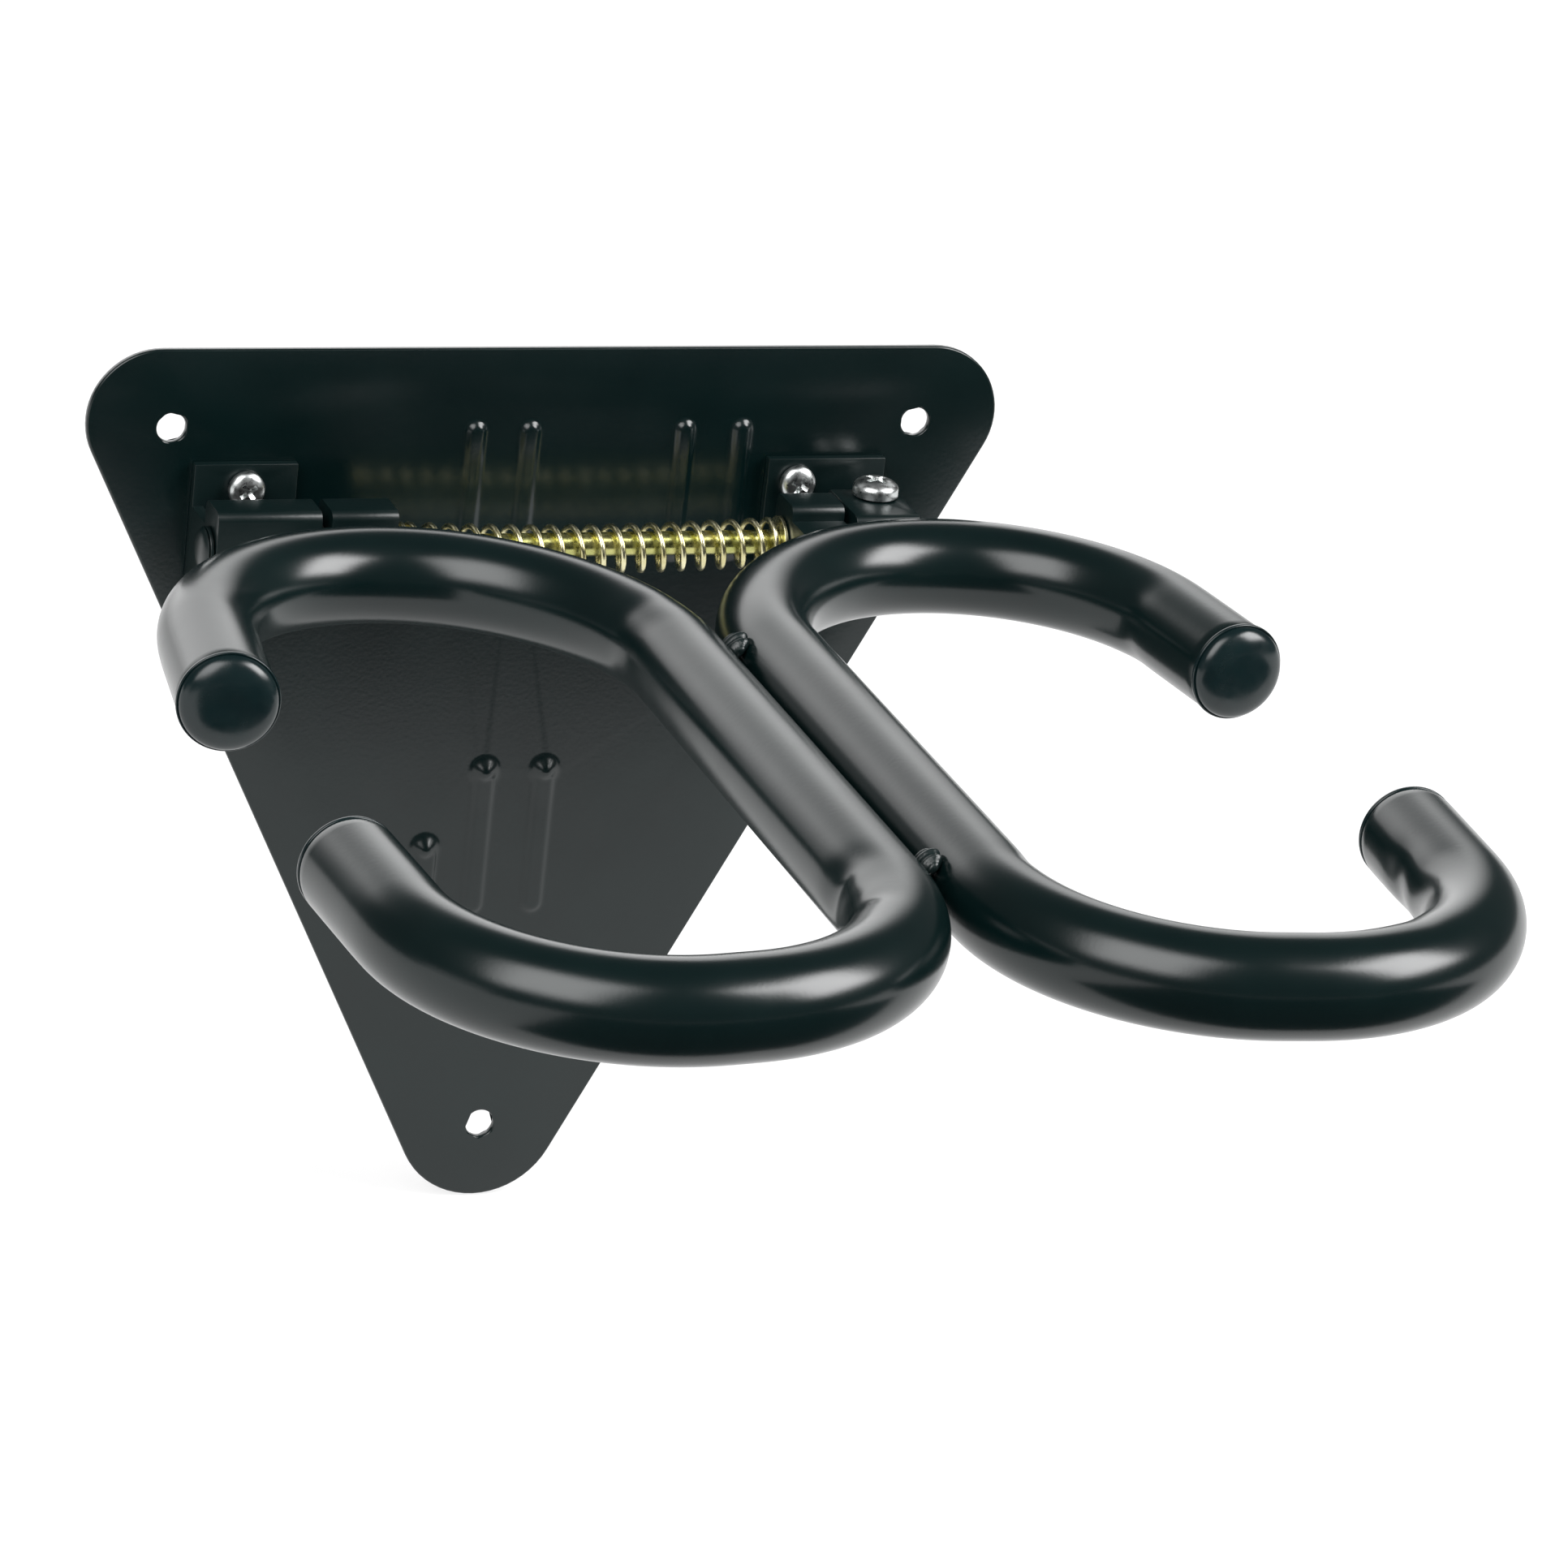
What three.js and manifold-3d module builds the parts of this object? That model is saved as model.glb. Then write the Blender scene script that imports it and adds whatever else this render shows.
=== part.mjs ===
// Folding bicycle wall rack: a steel wall plate carries a sprung rod hinge, and two bent-tube loops,
// welded back to back, swing on it from level (in use) up against the wall (folded away).
//
// Millimetres, +Z up. X runs along the wall, the wall is on the +Y side and the loops point to -Y.
// The origin is on the back face of the wall plate, midway between its two upper screw holes.

import * as THREE from 'three';
import { mergeVertices } from 'three/addons/utils/BufferGeometryUtils.js';
import Module from 'manifold-3d';

const wasm = await Module();
wasm.setup();

// ---------------------------------------------------------------------------------------------
// Driving dimensions
// ---------------------------------------------------------------------------------------------

const CLEARANCE = 0.3; // air left between any two touching pieces
const MERGE = 1; // overlap of shapes that are joined, and how far a cutter reaches past a face
const TURNED_SIDES = 20; // sides of turned pieces: rod, washers, screws and caps

// wall plate
const PLATE_THICKNESS = 2.5;
const PLATE_TOP_CORNER = { x: 107.5, z: 2, radius: 19.5 };
const PLATE_BOTTOM_CORNER = { x: 0, z: -203, radius: 23 };
const WALL_HOLE_RADIUS = 4;
const WALL_HOLES = [[-104, 0], [104, 0], [0, -204.5]];
const BEAD_HALF_WIDTH = 3.3;
const BEAD_HEIGHT = 1.3;
const BEAD_ROOT = 0.6;
const BEAD_GROOVE_INSET = 1.2; // a bead's groove in the back face is this much narrower on each side
// stiffening beads: centre x, top z and bottom z of each bead's centreline, half width
const BEADS = [
  { x: -20.5, top: -1.6, bottom: -36, halfWidth: BEAD_HALF_WIDTH },
  { x: -5.4, top: -1.6, bottom: -36, halfWidth: BEAD_HALF_WIDTH },
  { x: 38.1, top: -1.6, bottom: -36, halfWidth: BEAD_HALF_WIDTH },
  { x: 54.3, top: -1.6, bottom: -36, halfWidth: BEAD_HALF_WIDTH },
  { x: -8.8, top: -99.2, bottom: -138, halfWidth: BEAD_HALF_WIDTH + 0.4 },
  { x: 8.2, top: -99.2, bottom: -138, halfWidth: BEAD_HALF_WIDTH + 0.4 },
  { x: -23.8, top: -121.5, bottom: -150, halfWidth: BEAD_HALF_WIDTH + 1 },
];

// loops of tube
const TUBE_RADIUS = 12.5;
const TUBE_WALL = 1.8;
const TUBE_SIDES = 16;
const TUBE_STEPS = 46;
const ARMS_X = 7; // the loops sit this far to the right of the plate's centre
const ARMS_Z = -17;
const MIDDLE_HALF_PITCH = 13.4; // half the distance between the two middle runs
const MIDDLE_REAR_Y = -135;
const MIDDLE_FRONT_Y = -286;
const REAR_BENDS = [{ radius: 70, degrees: 57 }, { radius: 55, degrees: 115.5 }];
const REAR_END_LENGTH = { left: 36.5, right: 31 };
const FRONT_BENDS = [{ radius: 56, degrees: 84.5 }, { length: 7.5 }, { radius: 55, degrees: 92 }];
const FRONT_END_LENGTH = 34.5;

// hinge
const ROD_Y = -24.5;
const ROD_Z = -25.7;
const ROD_RADIUS = 3.2;
const LEFT_BRACKET_X = [-97.7, -69.7];
const LEFT_LUG_X = [-67, -49];
const RIGHT_LUG_X = [60.5, 75.2];
const RIGHT_BRACKET_X = [77.4, 95.4];
const RIGHT_BASE_X = [62, 95.4];
// a knuckle's reach in front of, behind and above the rod's axis
const KNUCKLE = { front: 6.5, back: 6.5, top: 12 };
const RIGHT_KNUCKLE = { front: 11, back: 13, top: 10.5 };
const KNUCKLE_BOTTOM = -10;
const KNUCKLE_CORNER = 1.8;
const KNUCKLE_CHAMFER = 1.5; // inside its hollow
const SHEET = 2.5; // thickness of the bracket's and lug's webs
const EAR = 3; // thickness of their side walls
const BASE_THICKNESS = 3;
const BASE_TOP = 16.5;
const BASE_BOTTOM = -27;
const STANDOFF_TOP = 5;
const STANDOFF_DROP = 4; // a bracket's side walls are this much deeper at the plate
const NECK_TOP = 8;
const NECK_BOTTOM = -3;
const NECK_ROOT = 5; // a neck is this much deeper at the knuckle
const NECK_LENGTH = 32; // from the rod's axis to inside the tube
const HEEL_TOP = -4;
const HEEL_BOTTOM = -15;

// fasteners, washers and the spring
const BRACKET_SCREW_RADIUS = 2.5;
const BRACKET_SCREW_HEAD = { radius: 4.9, height: 3.4 };
const LOCK_SCREW_RADIUS = 2.5;
const LOCK_SCREW_HEAD = { radius: 6.2, height: 4.6 };
const LOCK_SCREW_X = 88.2;
const LOCK_SCREW_BEHIND_ROD = 5.8;
const LOCK_SCREW_LENGTH = 8;
const LOCK_SCREW_SLOT = 2.4;
const BRACKET_SCREW_SLOT = 1.8;
// a screw head's rim, shoulder and flat top, as fractions of its radius and height
const HEAD_FORM = { rimHeight: 0.4, shoulderRadius: 0.86, shoulderHeight: 0.8, topRadius: 0.5 };
// the arms of its cross recess, as fractions of its radius
const RECESS = { arm: 0.55, blade: 0.12 };
const BRACKET_SCREWS = {
  left: { top: [-83.7, -15.7], bottom: [-83.7, -46.5] },
  right: { top: [70.3, -15.7], bottom: [86.4, -46.5] },
};
const WASHER = { radius: 6.2, thickness: 1 };
const NUT = { radius: 5.8, thickness: 5 };
const ROD_HEAD = { radius: 6, thickness: 1.6 };
const ROD_END_LENGTH = 2; // rod standing out of the nut
const FRICTION_WASHER_RADIUS = 6.2;
const BUSH = { outer: 4.6, inner: 3.5 };
const SPRING_SEAT = { radius: 7, thickness: 1 };
const SPRING_RADIUS = 6.2; // to the middle of the wire
const SPRING_WIRE_RADIUS = 0.8;
const SPRING_TURNS = 20;
const SPRING_STEPS_PER_TURN = 10;
const SPRING_WIRE_SIDES = 6;

// end caps and ties
// a cap has a plug in the tube, a thin flange over the tube's end and a domed face
const CAP = { flangeRadius: 12.9, flange: 1.2, faceRadius: 12.3, dome: 4.6, domeSteps: 5, plugLength: 12 };
const PLUG_CHAMFER = 1;
const TIE_Y = [-137.5, -277.5];
const TIE_SIZE = { x: 13, y: 11, bottom: 3.5, top: 9.5 };

const BACK_OF_ROD = -ROD_Y - PLATE_THICKNESS; // from the rod's axis back to the plate's front

// ---------------------------------------------------------------------------------------------
// Materials
// ---------------------------------------------------------------------------------------------

const powderCoat = new THREE.MeshStandardMaterial({ color: 0x17181a, roughness: 0.32, metalness: 0.2 });
const plateCoat = new THREE.MeshStandardMaterial({ color: 0x1d2021, roughness: 0.36, metalness: 0.2 });
const capPlastic = new THREE.MeshStandardMaterial({ color: 0x0b0b0c, roughness: 0.22, metalness: 0 });
const nylon = new THREE.MeshStandardMaterial({ color: 0x24252a, roughness: 0.55, metalness: 0 });
const yellowZinc = new THREE.MeshStandardMaterial({ color: 0xc9b36a, roughness: 0.3, metalness: 1 });
const brightZinc = new THREE.MeshStandardMaterial({ color: 0xc6c8ca, roughness: 0.28, metalness: 1 });

// ---------------------------------------------------------------------------------------------
// Solids: boolean helpers and simple bodies
// ---------------------------------------------------------------------------------------------

function toSolid(geometry) {
  const bare = geometry.clone();
  bare.deleteAttribute('normal');
  bare.deleteAttribute('uv');
  const merged = mergeVertices(bare, 1e-4);
  return new wasm.Manifold(new wasm.Mesh({
    numProp: 3,
    vertProperties: new Float32Array(merged.attributes.position.array),
    triVerts: new Uint32Array(merged.index.array),
  }));
}

function toGeometry(solid) {
  const mesh = solid.getMesh();
  const geometry = new THREE.BufferGeometry();
  geometry.setAttribute('position', new THREE.BufferAttribute(new Float32Array(mesh.vertProperties), 3));
  geometry.setIndex(new THREE.BufferAttribute(new Uint32Array(mesh.triVerts), 1));
  geometry.computeVertexNormals();
  return geometry;
}

function join(...geometries) {
  return toGeometry(geometries.map(toSolid).reduce((sum, solid) => sum.add(solid)));
}

function cut(geometry, ...tools) {
  return toGeometry(tools.map(toSolid).reduce((rest, tool) => rest.subtract(tool), toSolid(geometry)));
}

function box(x0, x1, y0, y1, z0, z1) {
  const geometry = new THREE.BoxGeometry(x1 - x0, y1 - y0, z1 - z0);
  return geometry.translate((x0 + x1) / 2, (y0 + y1) / 2, (z0 + z1) / 2);
}

// A round or many-sided bar along X, on the rod's axis.
function barOnRodAxis(radius, x0, x1, sides = TURNED_SIDES) {
  const geometry = new THREE.CylinderGeometry(radius, radius, x1 - x0, sides);
  return geometry.rotateZ(Math.PI / 2).translate((x0 + x1) / 2, ROD_Y, ROD_Z);
}

// A washer or sleeve on the rod.
function ringOnRodAxis(outer, inner, x0, x1) {
  return cut(barOnRodAxis(outer, x0, x1), barOnRodAxis(inner, x0 - MERGE, x1 + MERGE));
}

// A side profile, drawn as (forward of the rod's axis, above the rod's axis), extruded along X.
function profileAlongX(shape, x0, x1, curveSegments = 5) {
  const geometry = new THREE.ExtrudeGeometry(shape, { depth: x1 - x0, bevelEnabled: false, curveSegments });
  const frame = new THREE.Matrix4().makeBasis(
    new THREE.Vector3(0, -1, 0), new THREE.Vector3(0, 0, 1), new THREE.Vector3(-1, 0, 0));
  return geometry.applyMatrix4(frame).translate(x1, ROD_Y, ROD_Z);
}

function polygon(points) {
  return new THREE.Shape(points.map(([x, y]) => new THREE.Vector2(x, y)));
}

// ---------------------------------------------------------------------------------------------
// Wall plate
// ---------------------------------------------------------------------------------------------

// The outline round a ring of discs, counter-clockwise: straight tangents between them, arcs on them.
function outlineRoundDiscs(discs) {
  const normalAngles = discs.map((disc, index) => {
    const next = discs[(index + 1) % discs.length];
    const dx = next.x - disc.x;
    const dz = next.z - disc.z;
    const distance = Math.hypot(dx, dz);
    const lean = Math.asin((disc.radius - next.radius) / distance);
    return Math.atan2(dz, dx) - Math.PI / 2 + lean;
  });
  const shape = new THREE.Shape();
  discs.forEach((disc, index) => {
    const from = normalAngles[(index + discs.length - 1) % discs.length];
    shape.absarc(disc.x, disc.z, disc.radius, from, normalAngles[index], false);
  });
  return shape;
}

function capsule(x, top, bottom, halfWidth) {
  const shape = new THREE.Shape();
  shape.absarc(x, top, halfWidth, 0, Math.PI, false);
  shape.absarc(x, bottom, halfWidth, Math.PI, 2 * Math.PI, false);
  return shape;
}

// A bead with sloping sides and a short upright root; its sides start to slope at the given height.
function bead({ x, top, bottom, halfWidth }, inset, foot) {
  const ridge = new THREE.ExtrudeGeometry(capsule(x, top, bottom, halfWidth - inset - BEAD_HEIGHT), {
    depth: BEAD_ROOT,
    bevelEnabled: true,
    bevelThickness: BEAD_HEIGHT,
    bevelSize: BEAD_HEIGHT,
    bevelSegments: 3,
    curveSegments: 6,
  });
  return ridge.translate(0, 0, foot - BEAD_ROOT);
}

function makeWallPlate() {
  const left = { ...PLATE_TOP_CORNER, x: -PLATE_TOP_CORNER.x };
  const outline = outlineRoundDiscs([left, PLATE_BOTTOM_CORNER, PLATE_TOP_CORNER]);
  for (const [x, z] of WALL_HOLES) {
    outline.holes.push(new THREE.Path().absarc(x, z, WALL_HOLE_RADIUS, 0, 2 * Math.PI, true));
  }
  const tapped = BRACKET_SCREW_RADIUS + CLEARANCE;
  for (const [x, z] of Object.values(BRACKET_SCREWS).flatMap((pair) => Object.values(pair))) {
    outline.holes.push(new THREE.Path().absarc(x, z, tapped, 0, 2 * Math.PI, true));
  }
  const sheet = new THREE.ExtrudeGeometry(outline, {
    depth: PLATE_THICKNESS,
    bevelEnabled: false,
    curveSegments: 12,
  });
  // the sheet is drawn in (x, z) with its back at 0, then turned to stand against the wall
  const ridges = BEADS.map((each) => bead(each, 0, PLATE_THICKNESS));
  const grooves = BEADS.map((each) => bead(each, BEAD_GROOVE_INSET, 0));
  return cut(join(sheet, ...ridges), ...grooves).rotateX(Math.PI / 2);
}

// ---------------------------------------------------------------------------------------------
// Loops of bent tube
// ---------------------------------------------------------------------------------------------

class PlanArc extends THREE.Curve {
  constructor(centre, radius, startAngle, endAngle) {
    super();
    this.centre = centre;
    this.radius = radius;
    this.startAngle = startAngle;
    this.endAngle = endAngle;
  }

  getPoint(t, target = new THREE.Vector3()) {
    const angle = this.startAngle + (this.endAngle - this.startAngle) * t;
    return target.set(
      this.centre.x + this.radius * Math.cos(angle),
      this.centre.y + this.radius * Math.sin(angle),
      this.centre.z);
  }
}

// Walks in plan from a point, one straight or bend after another. turn is +1 to the left, -1 to the right.
function walk(start, heading, turn, pieces) {
  const curves = [];
  let point = start.clone();
  let direction = heading;
  for (const { length, radius, degrees } of pieces) {
    if (length) {
      const along = new THREE.Vector3(Math.cos(direction), Math.sin(direction), 0).multiplyScalar(length);
      const next = point.clone().add(along);
      curves.push({ line: [point, next] });
      point = next;
    } else {
      const side = direction + turn * Math.PI / 2;
      const centre = point.clone().add(new THREE.Vector3(Math.cos(side), Math.sin(side), 0).multiplyScalar(radius));
      const sweep = turn * THREE.MathUtils.degToRad(degrees);
      const from = side + Math.PI;
      curves.push({ arc: [centre, radius, from, from + sweep] });
      point = centre.clone().add(
        new THREE.Vector3(Math.cos(from + sweep), Math.sin(from + sweep), 0).multiplyScalar(radius));
      direction += sweep;
    }
  }
  return { curves, end: point, direction };
}

function reversed(curves) {
  return curves.map(({ line, arc }) => {
    if (line) {
      return { line: [line[1], line[0]] };
    }
    return { arc: [arc[0], arc[1], arc[3], arc[2]] };
  }).reverse();
}

// The centreline of one loop, from its rear end round to its front end; side is -1 for left, +1 for right.
function makeLoop(side) {
  const x = ARMS_X + side * MIDDLE_HALF_PITCH;
  const rearLength = side < 0 ? REAR_END_LENGTH.left : REAR_END_LENGTH.right;
  const rearCorner = new THREE.Vector3(x, MIDDLE_REAR_Y, ARMS_Z);
  const frontCorner = new THREE.Vector3(x, MIDDLE_FRONT_Y, ARMS_Z);
  const rear = walk(rearCorner, Math.PI / 2, -side, [...REAR_BENDS, { length: rearLength }]);
  const front = walk(frontCorner, -Math.PI / 2, side, [...FRONT_BENDS, { length: FRONT_END_LENGTH }]);
  const path = new THREE.CurvePath();
  const order = [...reversed(rear.curves), { line: [rearCorner, frontCorner] }, ...front.curves];
  for (const { line, arc } of order) {
    path.add(line ? new THREE.LineCurve3(...line) : new PlanArc(...arc));
  }
  return { path, rear, front };
}

function ringShape(outer, inner) {
  const shape = new THREE.Shape().absarc(0, 0, outer, 0, 2 * Math.PI, false);
  if (inner) {
    shape.holes.push(new THREE.Path().absarc(0, 0, inner, 0, 2 * Math.PI, true));
  }
  return shape;
}

function tubeAlong(path, outer, inner) {
  return new THREE.ExtrudeGeometry(ringShape(outer, inner), {
    steps: TUBE_STEPS,
    extrudePath: path,
    curveSegments: TUBE_SIDES / 2,
  });
}

// ---------------------------------------------------------------------------------------------
// End caps and welded ties
// ---------------------------------------------------------------------------------------------

// A push-in plug with a flange over the tube's end and a domed face, turned about its own axis.
function makeCap() {
  const plug = TUBE_RADIUS - TUBE_WALL - CLEARANCE;
  const flangeTop = CLEARANCE + CAP.flange;
  const profile = [
    [0, -CAP.plugLength], [plug - PLUG_CHAMFER, -CAP.plugLength], [plug, PLUG_CHAMFER - CAP.plugLength],
    [plug, CLEARANCE], [CAP.flangeRadius, CLEARANCE], [CAP.flangeRadius, flangeTop],
  ];
  for (let step = 0; step <= CAP.domeSteps; step += 1) {
    const angle = (Math.PI / 2) * (step / CAP.domeSteps);
    profile.push([CAP.faceRadius * Math.cos(angle), flangeTop + CAP.dome * Math.sin(angle)]);
  }
  return new THREE.LatheGeometry(profile.map(([r, h]) => new THREE.Vector2(r, h)), TURNED_SIDES);
}

function placeCap(mesh, { end, direction }) {
  mesh.position.copy(end);
  mesh.rotation.z = direction - Math.PI / 2;
}

// A short filler between the two middle runs, in the valley on top of them.
function makeTie(y, fatTubes) {
  const block = box(
    ARMS_X - TIE_SIZE.x / 2, ARMS_X + TIE_SIZE.x / 2,
    y - TIE_SIZE.y / 2, y + TIE_SIZE.y / 2,
    ARMS_Z + TIE_SIZE.bottom, ARMS_Z + TIE_SIZE.top);
  return cut(block, ...fatTubes);
}

// ---------------------------------------------------------------------------------------------
// Hinge brackets and lugs
// ---------------------------------------------------------------------------------------------

// A knuckle's side profile: a box with rounded upper corners round the rod.
function knuckleShape({ front, back, top }) {
  const shoulder = top - KNUCKLE_CORNER;
  const shape = new THREE.Shape();
  shape.moveTo(-back, KNUCKLE_BOTTOM);
  shape.lineTo(front, KNUCKLE_BOTTOM);
  shape.absarc(front - KNUCKLE_CORNER, shoulder, KNUCKLE_CORNER, 0, Math.PI / 2, false);
  shape.absarc(KNUCKLE_CORNER - back, shoulder, KNUCKLE_CORNER, Math.PI / 2, Math.PI, false);
  return shape;
}

// The room inside a knuckle, open at the bottom.
function knuckleHollow({ front, back, top }, [x0, x1]) {
  const ceiling = top - SHEET;
  const slope = ceiling - KNUCKLE_CHAMFER;
  const inFront = front - SHEET;
  const behind = SHEET - back;
  return profileAlongX(polygon([
    [behind, KNUCKLE_BOTTOM - MERGE], [inFront, KNUCKLE_BOTTOM - MERGE], [inFront, slope],
    [inFront - KNUCKLE_CHAMFER, ceiling], [behind + KNUCKLE_CHAMFER, ceiling], [behind, slope],
  ]), x0 + EAR, x1 - EAR);
}

// A base on the plate, two ears standing off from it, and the knuckle between the ears' ends.
function makeBracket(knuckle, knuckleX, baseX, screws) {
  const back = -BACK_OF_ROD;
  const baseFront = back + BASE_THICKNESS;
  const base = profileAlongX(polygon([
    [back + CLEARANCE, BASE_BOTTOM], [baseFront, BASE_BOTTOM], [baseFront, BASE_TOP], [back + CLEARANCE, BASE_TOP],
  ]), ...baseX);
  const standoff = polygon([
    [baseFront - MERGE, KNUCKLE_BOTTOM - STANDOFF_DROP], [MERGE - knuckle.back, KNUCKLE_BOTTOM],
    [MERGE - knuckle.back, STANDOFF_TOP], [baseFront - MERGE, STANDOFF_TOP],
  ]);
  const leftEar = profileAlongX(standoff, knuckleX[0], knuckleX[0] + EAR);
  const rightEar = profileAlongX(standoff, knuckleX[1] - EAR, knuckleX[1]);
  const housing = cut(profileAlongX(knuckleShape(knuckle), ...knuckleX), knuckleHollow(knuckle, knuckleX));
  const rodHole = barOnRodAxis(ROD_RADIUS + CLEARANCE, knuckleX[0] - MERGE, knuckleX[1] + MERGE);
  const holeRadius = BRACKET_SCREW_RADIUS + CLEARANCE;
  const drill = 2 * (BASE_THICKNESS + MERGE);
  const screwHoles = Object.values(screws).map(([x, z]) => {
    return new THREE.CylinderGeometry(holeRadius, holeRadius, drill, TURNED_SIDES)
      .translate(x, -PLATE_THICKNESS - BASE_THICKNESS, z);
  });
  return cut(join(base, leftEar, rightEar, housing), rodHole, ...screwHoles);
}

function makeRightBracket() {
  const holeRadius = LOCK_SCREW_RADIUS + CLEARANCE;
  const hole = new THREE.CylinderGeometry(holeRadius, holeRadius, 2 * (SHEET + MERGE), TURNED_SIDES);
  hole.rotateX(Math.PI / 2).translate(LOCK_SCREW_X, ROD_Y + LOCK_SCREW_BEHIND_ROD, ROD_Z + RIGHT_KNUCKLE.top);
  return cut(makeBracket(RIGHT_KNUCKLE, RIGHT_BRACKET_X, RIGHT_BASE_X, BRACKET_SCREWS.right), hole);
}

// A knuckle with a neck that meets the tube and a heel that stops the loops at level.
function makeLug(lugX, reachBack, fatTube) {
  const knuckle = profileAlongX(knuckleShape(KNUCKLE), ...lugX);
  const neck = profileAlongX(polygon([
    [0, NECK_BOTTOM - NECK_ROOT], [KNUCKLE.front, NECK_BOTTOM - NECK_ROOT], [NECK_LENGTH, NECK_BOTTOM],
    [NECK_LENGTH, NECK_TOP], [0, NECK_TOP],
  ]), ...lugX);
  const heelEnd = CLEARANCE - reachBack;
  const heel = profileAlongX(polygon([
    [heelEnd, HEEL_BOTTOM], [0, HEEL_BOTTOM], [0, HEEL_TOP], [heelEnd, HEEL_TOP],
  ]), ...lugX);
  const hollowFloor = HEEL_BOTTOM - MERGE;
  const hollowFront = NECK_LENGTH + MERGE;
  const neckHollow = profileAlongX(polygon([
    [heelEnd + SHEET, hollowFloor], [hollowFront, hollowFloor], [hollowFront, NECK_TOP - SHEET],
    [0, NECK_TOP - SHEET], [0, HEEL_TOP - SHEET], [heelEnd + SHEET, HEEL_TOP - SHEET],
  ]), lugX[0] + EAR, lugX[1] - EAR);
  const bushHole = barOnRodAxis(BUSH.outer + CLEARANCE, lugX[0] - MERGE, lugX[1] + MERGE);
  return cut(join(knuckle, neck, heel), knuckleHollow(KNUCKLE, lugX), neckHollow, bushHole, fatTube);
}

// ---------------------------------------------------------------------------------------------
// Rod, screws and spring
// ---------------------------------------------------------------------------------------------

// A pan-head screw turned about +Y: its head's underside is at 0 and the shank runs to -length.
function panHeadScrew(shank, head, length, slotDepth) {
  const profile = [
    [0, -length], [shank, -length], [shank, 0], [head.radius, 0], [head.radius, head.height * HEAD_FORM.rimHeight],
    [head.radius * HEAD_FORM.shoulderRadius, head.height * HEAD_FORM.shoulderHeight],
    [head.radius * HEAD_FORM.topRadius, head.height], [0, head.height],
  ];
  const body = new THREE.LatheGeometry(profile.map(([r, h]) => new THREE.Vector2(r, h)), TURNED_SIDES);
  const arm = head.radius * RECESS.arm;
  const blade = head.radius * RECESS.blade;
  const floor = head.height - slotDepth;
  const slots = [
    box(-arm, arm, floor, head.height + MERGE, -blade, blade),
    box(-blade, blade, floor, head.height + MERGE, -arm, arm),
  ];
  return cut(body, ...slots);
}

function makeRod() {
  const headStart = LEFT_BRACKET_X[0] - 2 * CLEARANCE - WASHER.thickness;
  const tail = RIGHT_BRACKET_X[1] + 3 * CLEARANCE + WASHER.thickness + NUT.thickness + ROD_END_LENGTH;
  return join(
    barOnRodAxis(ROD_RADIUS, headStart - MERGE, tail),
    barOnRodAxis(ROD_HEAD.radius, headStart - ROD_HEAD.thickness, headStart));
}

class SpringPath extends THREE.Curve {
  constructor(x0, x1) {
    super();
    this.x0 = x0;
    this.x1 = x1;
  }

  // The first and last turns are closed up, and the turns between them are evenly spaced.
  getPoint(t, target = new THREE.Vector3()) {
    const turns = t * SPRING_TURNS;
    const closed = 2 * SPRING_WIRE_RADIUS + CLEARANCE;
    const open = (this.x1 - this.x0 - 2 * closed) / (SPRING_TURNS - 2);
    const first = Math.min(turns, 1) * closed;
    const middle = THREE.MathUtils.clamp(turns - 1, 0, SPRING_TURNS - 2) * open;
    const last = Math.max(turns - SPRING_TURNS + 1, 0) * closed;
    const angle = 2 * Math.PI * turns;
    return target.set(
      this.x0 + first + middle + last,
      ROD_Y + SPRING_RADIUS * Math.cos(angle),
      ROD_Z + SPRING_RADIUS * Math.sin(angle));
  }
}

function makeSpring() {
  const gap = 2 * CLEARANCE + SPRING_SEAT.thickness + SPRING_WIRE_RADIUS;
  return new THREE.ExtrudeGeometry(ringShape(SPRING_WIRE_RADIUS), {
    steps: SPRING_TURNS * SPRING_STEPS_PER_TURN,
    extrudePath: new SpringPath(LEFT_LUG_X[1] + gap, RIGHT_LUG_X[0] - gap),
    curveSegments: SPRING_WIRE_SIDES / 2,
  });
}

// ---------------------------------------------------------------------------------------------
// Assembly
// ---------------------------------------------------------------------------------------------

const rack = new THREE.Group();
const wall = new THREE.Group();
const arms = new THREE.Group();
rack.add(wall, arms);

function add(group, name, geometry, material) {
  const mesh = new THREE.Mesh(geometry, material);
  mesh.name = name;
  group.add(mesh);
  return mesh;
}

add(wall, 'wall_plate', makeWallPlate(), plateCoat);
add(wall, 'left_bracket', makeBracket(KNUCKLE, LEFT_BRACKET_X, LEFT_BRACKET_X, BRACKET_SCREWS.left), powderCoat);
add(wall, 'right_bracket', makeRightBracket(), powderCoat);
add(wall, 'hinge_rod', makeRod(), yellowZinc);

const washerHole = ROD_RADIUS + CLEARANCE;
const leftWasherEnd = LEFT_BRACKET_X[0] - CLEARANCE;
const rightWasherStart = RIGHT_BRACKET_X[1] + CLEARANCE;
const nutStart = rightWasherStart + WASHER.thickness + CLEARANCE;
add(wall, 'rod_washer_left',
  ringOnRodAxis(WASHER.radius, washerHole, leftWasherEnd - WASHER.thickness, leftWasherEnd), brightZinc);
add(wall, 'rod_washer_right',
  ringOnRodAxis(WASHER.radius, washerHole, rightWasherStart, rightWasherStart + WASHER.thickness), brightZinc);
add(wall, 'rod_nut', cut(
  barOnRodAxis(NUT.radius, nutStart, nutStart + NUT.thickness, 6),
  barOnRodAxis(washerHole, nutStart - MERGE, nutStart + NUT.thickness + MERGE)), brightZinc);

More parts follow.
